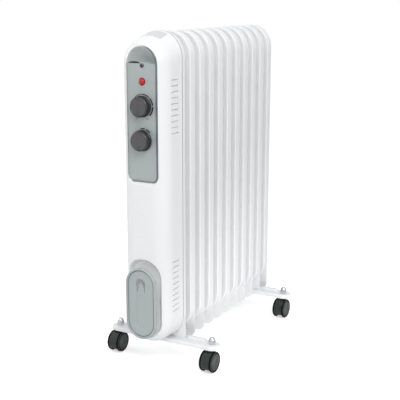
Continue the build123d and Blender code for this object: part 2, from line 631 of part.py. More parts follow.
# Rotary controls: body behind the panel, nut in front, shaft and knob
def control(name, z, wide, tall, deep):
    body = block(-wide / 2, wide / 2, PANEL_BACK, PANEL_BACK + deep, z - tall / 2, z + tall / 2)
    body = fillet(body.edges().filter_by(Axis.Y), BODY_CORNER)
    body += rod(NECK_RADIUS, 0, z, PANEL_FACE - NECK_STAND, PANEL_BACK)
    for x in (-0.3, 0, 0.3):
        blade = PANEL_BACK + deep
        left = wide * x - BLADE_HALF
        right = wide * x + BLADE_HALF
        body += block(left, right, blade, blade + BLADE_LONG, z - TERMINAL_HALF, z + TERMINAL_HALF)
    body -= rod(SHAFT_RADIUS + RUN, 0, z, PANEL_FACE - 2 * NECK_STAND, PANEL_BACK + SHAFT_IN)
    parts[name + "_body"] = body
    shaft = rod(
        SHAFT_RADIUS, 0, z, KNOB_FACE + KNOB_SKIN + SHAFT_END_GAP, PANEL_BACK + SHAFT_IN - SHAFT_END_GAP
    )
    level = SHAFT_RADIUS * 0.55
    far = 2 * SHAFT_RADIUS
    flat = block(-far, far, KNOB_FACE, PANEL_FACE - NECK_STAND - KNOB_GAP, z + level, z + far)
    parts[name + "_shaft"] = shaft - flat
    nut = prism(Pos(0, z) * RegularPolygon(NECK_RADIUS + NUT_GRIP, 6), PANEL_FACE - NUT_THICK, PANEL_FACE)
    plane = Plane(origin=(0, at(PANEL_FACE - KNOB_GAP), z), x_dir=(1, 0, 0), z_dir=(0, -1, 0))
    far_plane = Plane(origin=(0, at(KNOB_FACE), z), x_dir=(1, 0, 0), z_dir=(0, -1, 0))
    knob = loft([plane * Circle(KNOB_BASE_RADIUS), far_plane * Circle(KNOB_FACE_RADIUS)])
    knob = fillet(front_edges(knob), KNOB_ROUND)
    hollow = PANEL_FACE - KNOB_HOLLOW
    knob -= rod(NECK_RADIUS + KNOB_HOLLOW_GAP, 0, z, hollow, PANEL_FACE)
    for turn in range(FLUTE_COUNT):
        flute = Pos(KNOB_BASE_RADIUS + FLUTE_OUT, 0, 0) * Cylinder(FLUTE_RADIUS, FLUTE_LONG)
        place = Pos(0, at(PANEL_FACE - FLUTE_STAND), z) * Rot(90, 0, 0) * Rot(0, 0, turn * 360 / FLUTE_COUNT)
        knob -= place * flute
    knob -= rod(SHAFT_RADIUS + RUN, 0, z, KNOB_FACE + KNOB_SKIN, PANEL_FACE)
    key = block(-far, far, KNOB_FACE + KNOB_SKIN, hollow, z + level + RUN, z + far)
    knob += key & rod(SHAFT_RADIUS + KEY_WALL, 0, z, KNOB_FACE + KNOB_SKIN - KEY_WALL, hollow)
    parts[name + "_knob"] = knob
    return nut - rod(NECK_RADIUS + RUN, 0, z, PANEL_FACE - 5, PANEL_FACE + 1)


nuts = [
    control("thermostat", THERMOSTAT_Z, THERMOSTAT_WIDE, THERMOSTAT_TALL, THERMOSTAT_DEEP),
    control("selector", SELECTOR_Z, SELECTOR_WIDE, SELECTOR_TALL, SELECTOR_DEEP),
]
parts["control_nuts"] = group(nuts)

# Cord winder: a dished plate with a beaded rim on a core in the shell pocket
winder = prism(stadium(WINDER_HALF, WINDER_LOW_Z, WINDER_TOP_Z), WINDER_FACE, CORE_FRONT)
winder = fillet(front_edges(winder), WINDER_RIM * 0.6)
DISH_FLOOR = WINDER_FACE + WINDER_DISH
dish = prism(stadium(WINDER_HALF - WINDER_RIM, WINDER_LOW_Z, WINDER_TOP_Z), WINDER_FACE - 1, DISH_FLOOR)
winder -= fillet(dish.faces().sort_by(Axis.Y)[-1].edges(), WINDER_DISH * 0.7)
trough = stadium(TROUGH_HALF, WINDER_LOW_Z, WINDER_TOP_Z - TROUGH_DOWN)
trough = prism(trough, WINDER_FACE - 1, DISH_FLOOR + TROUGH_DEEP)
winder -= fillet(trough.faces().sort_by(Axis.Y)[-1].edges(), TROUGH_ROUND)
HOOK_LOW_Z = HOOK_Z - HOOK_RADIUS * 0.65
hook = rod(HOOK_RADIUS, 0, HOOK_Z, WINDER_FACE, CORE_FRONT + 1)
hook &= block(-HOOK_RADIUS, HOOK_RADIUS, WINDER_FACE, CORE_FRONT + 1, HOOK_LOW_Z, CLEAR_Z)
tongue = Pos(0, HOOK_Z - HOOK_RADIUS * 0.38) * RegularPolygon(HOOK_RADIUS * 0.76, 3, rotation=90)
hook -= prism(tongue, WINDER_FACE - 1, CORE_FRONT + 2)
for side in (-1, 1):
    leg_x = side * HOOK_RADIUS * 0.72
    leg_z = HOOK_LOW_Z - HOOK_RADIUS * 0.8
    hook += block(leg_x - HOOK_SLIT, leg_x + HOOK_SLIT, WINDER_FACE, CORE_FRONT + 1, leg_z, HOOK_LOW_Z + 1)
winder -= hook
parts["winder_plate"] = winder
core = prism(stadium(CORE_HALF, CORE_LOW_Z, CORE_TOP_Z), CORE_FRONT, POCKET_FLOOR)
hollow = stadium(CORE_HALF - CORE_WALL, CORE_LOW_Z, CORE_TOP_Z)
core -= prism(hollow, CORE_FRONT + CORE_WALL, POCKET_FLOOR - CORE_WALL)
for z in (CORE_LOW_Z, CORE_TOP_Z):
    core += rod(3 * SCREW_RADIUS, 0, z, CORE_FRONT + 1, POCKET_FLOOR)
    core -= rod(pilot, 0, z, CORE_FRONT + 4, POCKET_FLOOR + 1)
parts["winder_core"] = core
winder_screws = []
for z in (CORE_LOW_Z, CORE_TOP_Z):
    winder_screws.append(screw(0, z, POCKET_BACK, POCKET_FLOOR - 10, SCREW_HEAD, SCREW_RADIUS))
parts["winder_screws"] = group(winder_screws)
gland = rod(GLAND_RADIUS + GLAND_FLANGE, 0, GLAND_Z, POCKET_FLOOR - GLAND_THICK, POCKET_FLOOR)
gland += rod(GLAND_RADIUS, 0, GLAND_Z, POCKET_FLOOR, POCKET_BACK + GLAND_TAIL)
gland = fillet(front_edges(gland), GLAND_FLANGE / 2)
gland_bore = GLAND_RADIUS - GLAND_WALL
gland -= rod(gland_bore, 0, GLAND_Z, POCKET_FLOOR - 2 * GLAND_THICK, POCKET_BACK + 2 * GLAND_TAIL)
parts["cable_gland"] = gland

# Parts fixed to the bracket inside the box
BLOCK_Z = BUSH_LOW_Z + BLOCK_UP
BLOCK_FRONT = BRACKET_FRONT - BLOCK_DEEP
terminals = block(
    -BLOCK_HALF, BLOCK_HALF, BLOCK_FRONT, BRACKET_FRONT, BLOCK_Z - BLOCK_TALL / 2, BLOCK_Z + BLOCK_TALL / 2
)
for x in (-WIRE_PITCH, 0, WIRE_PITCH):
    terminals -= rod(WIRE_RADIUS, x, BLOCK_Z, BLOCK_FRONT - 1, BLOCK_FRONT + WIRE_DEEP)
parts["terminal_block"] = terminals
TILT_Z = BUSH_LOW_Z + TILT_UP
TILT_FRONT = BRACKET_FRONT - TILT_DEEP
tilt = block(
    -TILT_HALF, TILT_HALF, TILT_FRONT, BRACKET_FRONT, TILT_Z - TILT_TALL / 2, TILT_Z + TILT_TALL / 2
)
parts["tilt_switch"] = fillet(tilt.edges().filter_by(Axis.Y), TILT_CORNER)
CUTOUT_Z = BUSH_LOW_Z + CUTOUT_UP
CUTOUT_STEP = BRACKET_FRONT - CUTOUT_LONG
cutout = rod(CUTOUT_RADIUS, 0, CUTOUT_Z, CUTOUT_STEP, BRACKET_FRONT)
cutout += rod(CUTOUT_CAP_RADIUS, 0, CUTOUT_Z, CUTOUT_STEP - CUTOUT_CAP_LONG, CUTOUT_STEP)
EAR_FRONT = BRACKET_FRONT - EAR_SHEET
cutout += block(
    -EAR_LONG, EAR_LONG, EAR_FRONT, BRACKET_FRONT, CUTOUT_Z - EAR_LONG / 2, CUTOUT_Z + EAR_LONG / 2
)
parts["thermal_cutout"] = cutout


# Feet: pressed bars with a turned down skirt, two raised ribs and a slot for the fin tab
def foot(shift):
    line = Pos(0, at(FOOT_AT)) * SlotCenterToCenter(2 * STUD_X, 2 * FOOT_HALF)
    bar = Pos(0, 0, FOOT_Z - FOOT_SKIRT) * extrude(line, FOOT_SKIRT)
    bar = fillet(bar.faces().sort_by(Axis.Z)[-1].edges(), FOOT_SHEET + FOOT_ROUND)
    under = Pos(0, at(FOOT_AT)) * SlotCenterToCenter(2 * STUD_X, 2 * (FOOT_HALF - FOOT_SHEET))
    hollow = Pos(0, 0, FOOT_Z - FOOT_SKIRT - 1) * extrude(under, FOOT_SKIRT - FOOT_SHEET + 1)
    hollow = fillet(hollow.faces().sort_by(Axis.Z)[-1].edges(), FOOT_ROUND)
    for side in (-1, 1):
        inner_x = TAB_HALF + RIB_INNER
        outer_x = STUD_X - RIB_OUTER
        middle = side * (inner_x + outer_x) / 2
        reach = (outer_x - inner_x) / 2
        front = FOOT_AT + RIB_FRONT
        rear = FOOT_AT + FOOT_HALF - RIB_REAR
        rib = block(middle - reach, middle + reach, front, rear, FOOT_UNDER, FOOT_Z + RIB_HEIGHT)
        rib = fillet(rib.edges().filter_by(Axis.Z), RIB_CORNER)
        rib = fillet(rib.faces().sort_by(Axis.Z)[-1].edges(), RIB_HEIGHT * 0.75)
        bar += rib
        reach -= FOOT_SHEET
        void_top = FOOT_UNDER + RIB_HEIGHT
        void = block(
            middle - reach, middle + reach, front + FOOT_SHEET, rear - FOOT_SHEET, FOOT_UNDER - 1, void_top
        )
        hollow += fillet(void.edges().filter_by(Axis.Z), RIB_CORNER - FOOT_SHEET)
    bar -= hollow
    for side in (-1, 1):
        bar -= post(STUD_RADIUS + RUN, side * STUD_X, FOOT_AT, FOOT_UNDER - 1, FOOT_Z + 1)
        bar -= post(LEG_RADIUS + FIT, side * LEG_X, LEG_AT, FOOT_UNDER - 1, FOOT_Z + 1)
    tab_front = FIN_DEPTH - SHEET - SLOT_CLEAR
    tab_rear = FIN_DEPTH + SLOT_CLEAR
    slot_half = TAB_HALF + SLOT_CLEAR
    bar -= block(-slot_half, slot_half, tab_front, tab_rear, FOOT_UNDER - 1, FOOT_Z + FOOT_SKIRT)
    return Pos(0, shift, 0) * bar


parts["front_foot"] = foot(0)
parts["rear_foot"] = foot(REAR_SHIFT)

u_bolts = []
wing_nuts = []
for shift in (0, REAR_SHIFT):
    arch = Pos(0, at(LEG_AT + shift), BUSH_LOW_Z) * Rot(90, 0, 0) * Torus(LEG_X, LEG_RADIUS)
    wide = 2 * LEG_X
    front = LEG_AT + shift - 2 * LEG_RADIUS
    rear = LEG_AT + shift + 2 * LEG_RADIUS
    bolt = arch & block(-wide, wide, front, rear, BUSH_LOW_Z, BUSH_LOW_Z + wide)
    for side in (-1, 1):
        bolt += post(LEG_RADIUS, side * LEG_X, LEG_AT + shift, FOOT_UNDER - LEG_BELOW, BUSH_LOW_Z)
        hub = post(LEG_RADIUS + HUB_WALL, side * LEG_X, LEG_AT + shift, FOOT_UNDER - HUB_TALL, FOOT_UNDER)
        wing = block(
            side * LEG_X - WING_HALF, side * LEG_X + WING_HALF,
            LEG_AT + shift - WING_THICK, LEG_AT + shift + WING_THICK,
            FOOT_UNDER - WING_BELOW, FOOT_UNDER - WING_UNDER
        )
        wing = fillet(wing.edges().filter_by(Axis.Y), WING_CORNER)
        low_z = FOOT_UNDER - 2 * LEG_BELOW
        bore = post(LEG_RADIUS + RUN, side * LEG_X, LEG_AT + shift, low_z, FOOT_UNDER + 1)
        wing_nuts.append(hub + wing - bore)
    u_bolts.append(bolt)
parts["u_bolts"] = group(u_bolts)
parts["wing_nuts"] = group(wing_nuts)

# Caster studs and the domed cap nuts that hold them on the feet
PIN_Z = WHEEL_RADIUS + AXLE_RADIUS + PIN_UP
NUT_TALL = 1.5 * STUD_RADIUS
DOME_RADIUS = STUD_RADIUS + DOME_WALL
DOME_Z = FOOT_Z + NUT_TALL + DOME_TALL
studs = []
cap_nuts = []
CASTERS = {}
for end, shift in (("front", 0), ("rear", REAR_SHIFT)):
    for hand, side in (("left", -1), ("right", 1)):
        CASTERS[f"{end}_{hand}"] = (side * STUD_X, FOOT_AT + shift)
for x, depth in CASTERS.values():
    stud = post(STUD_RADIUS, x, depth, FOOT_UNDER - 1, DOME_Z)
    stud += post(COLLAR_RADIUS, x, depth, COLLAR_Z, FOOT_UNDER)
    stud += post(PIN_RADIUS, x, depth, PIN_Z, COLLAR_Z)
    studs.append(stud)
    hexagon = Pos(x, at(depth), FOOT_Z) * extrude(RegularPolygon(STUD_RADIUS + NUT_REACH, 6), NUT_TALL)
    hexagon &= post(STUD_RADIUS + NUT_ROUND, x, depth, FOOT_Z, FOOT_Z + NUT_TALL)
    dome = post(DOME_RADIUS, x, depth, FOOT_Z + NUT_TALL, DOME_Z)
    dome += Pos(x, at(depth), DOME_Z) * Sphere(DOME_RADIUS) & block(
        x - 2 * DOME_RADIUS, x + 2 * DOME_RADIUS, depth - 2 * DOME_RADIUS, depth + 2 * DOME_RADIUS,
        DOME_Z - DOME_WALL / 4, DOME_Z + 2 * DOME_RADIUS
    )
    cap_nuts.append(hexagon + dome - post(STUD_RADIUS + RUN, x, depth, FOOT_Z - 1, DOME_Z + 0.5))
parts["caster_studs"] = group(studs)
parts["cap_nuts"] = group(cap_nuts)


# Casters: a hood that swivels on its stud, an axle pin and two wheels
def wheel_disc(radius, x0, x1, y, z):
    plane = Plane(origin=(x0, y, z), x_dir=(0, 1, 0), z_dir=(1, 0, 0))
    return extrude(plane * Circle(radius), x1 - x0)


def wheel_span(radius, x, side, near_x, far_x, y, z):
    """A disc between two distances from the middle of the caster, on one side of it."""
    ends = sorted((x + side * near_x, x + side * far_x))
    return wheel_disc(radius, ends[0], ends[1], y, z)


def caster(name, x, depth):
    y = at(depth) - TRAIL
    z = WHEEL_RADIUS
    large = 4 * HOOD_RADIUS
    upper = Pos(x, y, z - HOOD_DROP + large / 2) * Box(large, large, large)
    hood = wheel_disc(HOOD_RADIUS - 2 * HOOD_WALL, x - WEB_HALF, x + WEB_HALF, y, z)
    hood += wheel_disc(HOOD_RADIUS - HOOD_WALL / 2, x - WEB_HALF, x + WEB_HALF, y, z) & upper
    canopy = wheel_disc(HOOD_RADIUS, x - HOOD_HALF, x + HOOD_HALF, y, z)
    canopy -= wheel_disc(HOOD_RADIUS - HOOD_WALL, x - HOOD_HALF - 1, x + HOOD_HALF + 1, y, z)
    hood += canopy & upper
    boss_top = COLLAR_Z - 2 * RUN
    boss = post(PIN_RADIUS + BOSS_WALL, x, depth, z + AXLE_RADIUS, boss_top)
    crown = Pos(x, at(depth), z + HOOD_RADIUS - HOOD_WALL + large / 2) * Box(large, large, large)
    stem = Pos(x, at(depth), z) * Box(2 * WEB_HALF, large, large)
    hood += boss & stem
    hood += boss & crown & (wheel_disc(large, x - HOOD_HALF, x + HOOD_HALF, y, z)
                            - wheel_disc(HOOD_RADIUS - HOOD_WALL, x - HOOD_HALF, x + HOOD_HALF, y, z))
    hood -= post(PIN_RADIUS + RUN, x, depth, PIN_Z - 2 * RUN, boss_top + 1)
    parts[name + "_hood"] = hood - wheel_disc(AXLE_RADIUS, x - WEB_HALF - 1, x + WEB_HALF + 1, y, z)
    parts[name + "_axle"] = wheel_disc(AXLE_RADIUS, x - AXLE_HALF, x + AXLE_HALF, y, z)
    for hand, side in (("left", -1), ("right", 1)):
        hub = wheel_span(HUB_RADIUS, x, side, HUB_START, WHEEL_HALF - HUB_SHORT, y, z)
        rim = wheel_span(WHEEL_RADIUS, x, side, RIM_START, WHEEL_HALF, y, z)
        outer_edge = rim.edges().filter_by(GeomType.CIRCLE).sort_by(Axis.X)[-1 if side > 0 else 0]
        rim = fillet(outer_edge, WHEEL_ROUND)
        dent_radius = WHEEL_RADIUS - 2 * WHEEL_ROUND
        dent = wheel_span(dent_radius, x, side, WHEEL_HALF - DENT_DEEP, WHEEL_HALF + DENT_DEEP, y, z)
        bore = wheel_span(AXLE_RADIUS + RUN, x, side, 0, AXLE_HALF + FIT, y, z)
        parts[f"{name}_wheel_{hand}"] = hub + rim - dent - bore


for name, (x, depth) in CASTERS.items():
    caster(name, x, depth)

os.makedirs("parts", exist_ok=True)
for name, shape in parts.items():
    export_step(shape, f"parts/{name}.step")
print(len(parts), "nodes written")
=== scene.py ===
# %% [markdown]
# # An oil filled radiator heater
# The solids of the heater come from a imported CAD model. This lesson dresses them: each finish is
# a material made from nodes, and the pieces that need a softer or finer form are modelled here.
# Everything is in metres, the control box faces -Y and the fins stack towards +Y.

# %% Load the solids
import json
import math
import bmesh
import bpy
from mathutils import Matrix, Vector


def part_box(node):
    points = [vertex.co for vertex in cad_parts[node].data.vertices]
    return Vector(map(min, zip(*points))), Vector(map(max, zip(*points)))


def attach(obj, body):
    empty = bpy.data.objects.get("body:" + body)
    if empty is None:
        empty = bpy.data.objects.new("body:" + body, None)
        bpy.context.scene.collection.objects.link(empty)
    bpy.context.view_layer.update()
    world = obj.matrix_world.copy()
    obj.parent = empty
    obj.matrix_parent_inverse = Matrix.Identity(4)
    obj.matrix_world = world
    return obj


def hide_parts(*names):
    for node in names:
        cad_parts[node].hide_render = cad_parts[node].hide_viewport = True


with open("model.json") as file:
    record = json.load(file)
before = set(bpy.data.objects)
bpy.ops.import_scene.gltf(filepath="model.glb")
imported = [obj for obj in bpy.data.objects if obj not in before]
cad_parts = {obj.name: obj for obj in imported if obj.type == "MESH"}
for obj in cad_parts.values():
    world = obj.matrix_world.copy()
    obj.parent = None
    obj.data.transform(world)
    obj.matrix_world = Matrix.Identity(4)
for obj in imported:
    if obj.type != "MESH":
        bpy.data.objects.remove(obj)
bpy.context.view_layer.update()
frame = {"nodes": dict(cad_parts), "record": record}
nodes = frame["nodes"]
scene = bpy.context.scene

# %% [markdown]
# ## Helpers for materials
# Colours are easiest to pick as sRGB hex values, but shaders want linear numbers, so one function
# turns the first into the second. Nodes could be wired one line at a time, but a small function that
# adds a node, sets it and links it in one go keeps a recipe readable from top to bottom. All patterns
# use Object coordinates, which are metres here, so a scale of 1 / size gives a pattern of that size.

# %% Colour and node helpers
MM = 0.001


def linear(hex_colour):
    """An sRGB hex value as linear RGBA."""
    channels = []
    for start in (1, 3, 5):
        value = int(hex_colour[start:start + 2], 16) / 255
        channels.append(value / 12.92 if value <= 0.04045 else ((value + 0.055) / 1.055) ** 2.4)
    return (*channels, 1.0)


def add_node(tree, kind, settings=None, links=None):
    """Adds a node, sets its properties or sockets, and links its inputs."""
    node = tree.nodes.new(kind)
    for name, value in (settings or {}).items():
        if isinstance(name, str) and hasattr(node, name):
            setattr(node, name, value)
        else:
            node.inputs[name].default_value = value
    for name, source in (links or {}).items():
        tree.links.new(source, node.inputs[name])
    return node


def start_material(name):
    """A material with an empty tree, its output and Object coordinates."""
    material = bpy.data.materials.new(name)
    material.use_nodes = True
    tree = material.node_tree
    tree.nodes.clear()
    output = add_node(tree, "ShaderNodeOutputMaterial")
    place = add_node(tree, "ShaderNodeTexCoord").outputs["Object"]
    return material, tree, output, place


print("shell white reads as", [round(value, 3) for value in linear("#E9EAEB")])

# %% [markdown]
# ## White powder coat
# The fins and the foot bars are pressed steel sheet under a polyester powder coat. The powder melts
# to a satin film that is never quite flat: it keeps soft ripples about 2 mm across, called orange
# peel. An image could show them, but a noise that drives a faint bump has no seams and the same size
# on every fin. A much larger noise shifts the white by a hair, as on any big painted part. The film
# has an index of refraction of about 1.5. The moulded ABS shell of the control box is whiter, smoother
# and finer in grain, so it is the same recipe with other numbers.

# %% Powder coat and shell materials
DRIFT_MM = 140
ROUGHNESS_SWING = 0.05


def white_film(name, colour, shade, roughness, ripple_mm, ripple_height):
    """A satin film: a slow drift of colour, a fine ripple and a roughness that follows it."""
    material, tree, output, place = start_material(name)
    drift = add_node(
        tree, "ShaderNodeTexNoise", {"Scale": 1 / (DRIFT_MM * MM), "Detail": 2.0}, {"Vector": place}
    )
    tone = add_node(
        tree, "ShaderNodeMix",
        {"data_type": "RGBA", 6: linear(colour), 7: linear(shade)}, {"Factor": drift.outputs["Fac"]},
    )
    ripple = add_node(
        tree, "ShaderNodeTexNoise", {"Scale": 1 / (ripple_mm * MM), "Detail": 1.0}, {"Vector": place}
    )
    film = add_node(
        tree, "ShaderNodeMapRange",
        {"To Min": roughness - ROUGHNESS_SWING, "To Max": roughness + ROUGHNESS_SWING},
        {"Value": ripple.outputs["Fac"]},
    )
    peel = add_node(
        tree, "ShaderNodeBump", {"Strength": 0.6, "Distance": ripple_height * MM},
        {"Height": ripple.outputs["Fac"]},
    )
    shader = add_node(
        tree, "ShaderNodeBsdfPrincipled", {"IOR": 1.5},
        {
            "Base Color": tone.outputs[2],
            "Roughness": film.outputs["Result"],
            "Normal": peel.outputs["Normal"],
        },
    )
    tree.links.new(shader.outputs["BSDF"], output.inputs["Surface"])
    return material


# Polyester powder coat on sheet steel: satin, with soft ripples in its reflections
white_powder_coat = white_film("white_powder_coat", "#E9EAEB", "#E5E7E8", 0.38, 2.0, 0.02)
# ABS from a lightly polished mould: a cleaner white with small even highlights
white_abs = white_film("white_abs_shell", "#EBECED", "#E8E9EA", 0.30, 0.8, 0.006)
print("made", white_powder_coat.name, "and", white_abs.name)

# %% [markdown]
# ## Gray paint
# The panel, the finger scoop and the cord winder are ABS under a gray paint that holds a little
# metal flake, so it shines more softly than plain plastic. One flat gray would do from afar, but up
# close the flakes give the paint its depth. Small random cells stand for them, each a touch lighter
# or darker than its neighbours, and a slower noise is the tooth of the paint. Two more grays paint
# light and shade: a lighter copy brightens the shaded scoop, and a darker one paints the shade along
# the panel's edge and in the winder's dish.

# %% Gray paint materials
# Real flakes are about a tenth of this size and are drawn coarser, so that they show
FLAKE_MM = 0.5
TOOTH_MM = 1.1
TOOTH_HEIGHT = 0.01


def flake_paint(name, colour, shade, roughness, metallic):
    """A gray paint with fine flake."""
    material, tree, output, place = start_material(name)
    flakes = add_node(tree, "ShaderNodeTexVoronoi", {"Scale": 1 / (FLAKE_MM * MM)}, {"Vector": place})
    spark = add_node(
        tree, "ShaderNodeMapRange", {"To Min": 0.25, "To Max": 0.75},
        {"Value": flakes.outputs["Color"]},
    )
    tone = add_node(
        tree, "ShaderNodeMix",
        {"data_type": "RGBA", 6: linear(colour), 7: linear(shade)}, {"Factor": spark.outputs["Result"]},
    )
    grain = add_node(
        tree, "ShaderNodeTexNoise", {"Scale": 1 / (TOOTH_MM * MM), "Detail": 2.0}, {"Vector": place}
    )
    film = add_node(
        tree, "ShaderNodeMapRange",
        {"To Min": roughness - ROUGHNESS_SWING, "To Max": roughness + ROUGHNESS_SWING},
        {"Value": grain.outputs["Fac"]},
    )
    tooth = add_node(
        tree, "ShaderNodeBump", {"Strength": 0.5, "Distance": TOOTH_HEIGHT * MM},
        {"Height": grain.outputs["Fac"]},
    )
    shader = add_node(
        tree, "ShaderNodeBsdfPrincipled", {"IOR": 1.5, "Metallic": metallic},
        {
            "Base Color": tone.outputs[2],
            "Roughness": film.outputs["Result"],
            "Normal": tooth.outputs["Normal"],
        },
    )
    tree.links.new(shader.outputs["BSDF"], output.inputs["Surface"])
    return material


# Satin paint of the panel and the winder: a broad soft sheen
gray_satin = flake_paint("gray_satin_paint", "#AFB6B6", "#A8AFAF", 0.38, 0.2)
# The scoop's gray is the panel's paint made lighter to paint light into its shaded niche, and glossier
scoop_gray_lightened = flake_paint("gray_gloss_paint_lightened", "#D6DBDB", "#D0D6D6", 0.22, 0.1)
# A deeper and duller gray that paints shade: the strip along the panel's edge and the winder's line
shade_gray = flake_paint("gray_painted_shade", "#6E7678", "#697173", 0.45, 0.1)
print("made", gray_satin.name, scoop_gray_lightened.name, "and", shade_gray.name)

# %% [markdown]
# ## Dark plastics and ink
# The casters are black nylon with a softer tread, the knobs are dark ABS, the parts inside the box are
# phenolic, and the scale on the panel is pad printed ink. Each could have nodes of its own, but all
# are slightly uneven and matt, so one recipe serves them: a fine grain for the moulded surface and
# larger pale clouds where handling has polished it. The pointer paint and the pale gray band that
# paints the shade behind the box take the same recipe in other colours.

# %% Dark plastic materials
CLOUD_MM = 9
POLISH_GAIN = 0.1


def dark_plastic(name, colour, polished, roughness, grain_mm, grain_height, shine=0.5):
    """A dark matt plastic with a moulded grain and faint polished clouds; shine scales its gloss."""
    material, tree, output, place = start_material(name)
    clouds = add_node(
        tree, "ShaderNodeTexNoise", {"Scale": 1 / (CLOUD_MM * MM), "Detail": 3.0}, {"Vector": place}
    )
    worn = add_node(
        tree, "ShaderNodeMapRange", {"From Min": 0.45, "From Max": 0.75}, {"Value": clouds.outputs["Fac"]}
    )
    tone = add_node(
        tree, "ShaderNodeMix",
        {"data_type": "RGBA", 6: linear(colour), 7: linear(polished)}, {"Factor": worn.outputs["Result"]},
    )
    film = add_node(
        tree, "ShaderNodeMapRange",
        {"To Min": roughness, "To Max": roughness - POLISH_GAIN}, {"Value": worn.outputs["Result"]},
    )
    grain = add_node(
        tree, "ShaderNodeTexNoise", {"Scale": 1 / (grain_mm * MM), "Detail": 2.0}, {"Vector": place}
    )
    tooth = add_node(
        tree, "ShaderNodeBump", {"Strength": 0.5, "Distance": grain_height * MM},
        {"Height": grain.outputs["Fac"]},
    )
    shader = add_node(
        tree, "ShaderNodeBsdfPrincipled", {"IOR": 1.53, "Specular IOR Level": shine},
        {
            "Base Color": tone.outputs[2],
            "Roughness": film.outputs["Result"],
            "Normal": tooth.outputs["Normal"],
        },
    )
    tree.links.new(shader.outputs["BSDF"], output.inputs["Surface"])
    return material


# The moulded grains below are drawn a little coarser than in life, so that they show.
# Glass filled nylon of the hoods: black with a soft highlight along each edge
black_nylon = dark_plastic("black_nylon", "#171818", "#202121", 0.36, 0.5, 0.01)
# Polyurethane tread of the wheels: the deepest black, with hardly any shine
black_tread = dark_plastic("black_polyurethane", "#060707", "#0A0B0B", 0.6, 0.5, 0.01, shine=0.08)
# Nylon of the wheel covers: a little grayer and duller than the hoods
gray_nylon = dark_plastic("gray_nylon", "#2C2D2D", "#343535", 0.42, 0.5, 0.01)
# Dark ABS of the knob sides: dark gray and matt under the fingers
knob_abs = dark_plastic("dark_gray_abs", "#2B2D2F", "#333537", 0.40, 0.4, 0.006)
# Phenolic of the switch bodies and the terminal block: dull black. It also paints the shade in
# the slit under the finger scoop
phenolic = dark_plastic("black_phenolic", "#1E1E1F", "#262627", 0.5, 0.6, 0.01)
# Pad printing ink: flat dark gray
ink = dark_plastic("printing_ink", "#2A2D31", "#33363A", 0.55, 0.2, 0.002)
# Red paint filled into the pointer groove: a muted red line
pointer_red = dark_plastic("pointer_red_paint", "#A43A3C", "#B04748", 0.45, 0.3, 0.004)
# Flat pale gray that paints the shade in the joint between the box and the first fin
seal_shade_gray = dark_plastic("gray_shade_band", "#B2B4B5", "#BABCBD", 0.7, 0.6, 0.02)
print("made", black_nylon.name, black_tread.name, gray_nylon.name, knob_abs.name)
print("made", phenolic.name, ink.name, pointer_red.name, seal_shade_gray.name)

# %% [markdown]
# ## Metals
# Zinc plating is a soft gray metal whose crystals show as a faint patchwork. Chrome is a thin, hard
# mirror over nickel that keeps small wipe marks. With one roughness all over, both would look too
# clean, so a pattern of cells and clouds varies it. The knob faces are metallic paint turned on a
# lathe: its fine circles stretch each highlight into two opposite fans. Modelled circles would be far
# too many, and an anisotropic metal with a round tangent shows the same fans.

# %% Metal materials
CLOUD_TO_CELL = 2.5


def metal(name, colour, shade, roughness, spread, pattern_mm, turned=0.0, edge_reflection=1.0):
    """A metal with patches of two tones whose roughness varies; edge_reflection below 1 paints dark
    edges.
    """
    material, tree, output, place = start_material(name)
    cells = add_node(tree, "ShaderNodeTexVoronoi", {"Scale": 1 / (pattern_mm * MM)}, {"Vector": place})
    cloud_mm = CLOUD_TO_CELL * pattern_mm
    clouds = add_node(
        tree, "ShaderNodeTexNoise", {"Scale": 1 / (cloud_mm * MM), "Detail": 3.0}, {"Vector": place}
    )
    patch = add_node(
        tree, "ShaderNodeMath", {"operation": "MULTIPLY"},
        {0: cells.outputs["Distance"], 1: clouds.outputs["Fac"]},
    )
    tone = add_node(
        tree, "ShaderNodeMix",
        {"data_type": "RGBA", 6: linear(colour), 7: linear(shade)}, {"Factor": patch.outputs[0]},
    )
    film = add_node(
        tree, "ShaderNodeMapRange",
        {"To Min": roughness, "To Max": roughness + spread}, {"Value": patch.outputs[0]},
    )
    round_way = add_node(tree, "ShaderNodeTangent", {"direction_type": "RADIAL", "axis": "Y"})
    shader = add_node(
        tree, "ShaderNodeBsdfPrincipled",
        {"Metallic": 1.0, "Anisotropic": turned, "Specular Tint": (edge_reflection, edge_reflection, edge_reflection, 1)},
        {
            "Base Color": tone.outputs[2],
            "Roughness": film.outputs["Result"],
            "Tangent": round_way.outputs[0],
        },
    )
    tree.links.new(shader.outputs["BSDF"], output.inputs["Surface"])
    return material


# Passivated zinc on steel hardware: a soft gray metal with faint patches
zinc = metal("zinc_plate", "#C3C5C8", "#A9ACB0", 0.30, 0.15, 1.5)
# Chrome on the domed nuts: a bright mirror. Its edges are painted dark, a painted dark
# reflection at the rim
chrome = metal("chrome_plate", "#D8D9DC", "#C8C9CC", 0.06, 0.06, 3.0, edge_reflection=0.0)
# Dark metal on the cover screws paints the shade of the deep notch; still a metal in its highlights
dark_metal_painted_shade = metal("dark_metal_painted_shade", "#66676A", "#565759", 0.18, 0.15, 1.0)
# Dark metallic paint on the turned knob faces: opposite fans of light
spun_face = metal("spun_gray_paint", "#6A6B6D", "#626365", 0.30, 0.06, 0.6, turned=0.9)
print("made", zinc.name, chrome.name, dark_metal_painted_shade.name, spun_face.name)

# %% [markdown]
# ## Red lens
# The pilot lamp has a moulded red acrylic cap. Acrylic lets light through, with an index of
# refraction of 1.49, and the inside of such a cap is cut into small lenses that scatter the lamp's
# light. The lenses could be modelled one by one, but on a cap this small a cell pattern as bump gives
# the same glitter. A deeper red between the cells adds the depth of the cap.

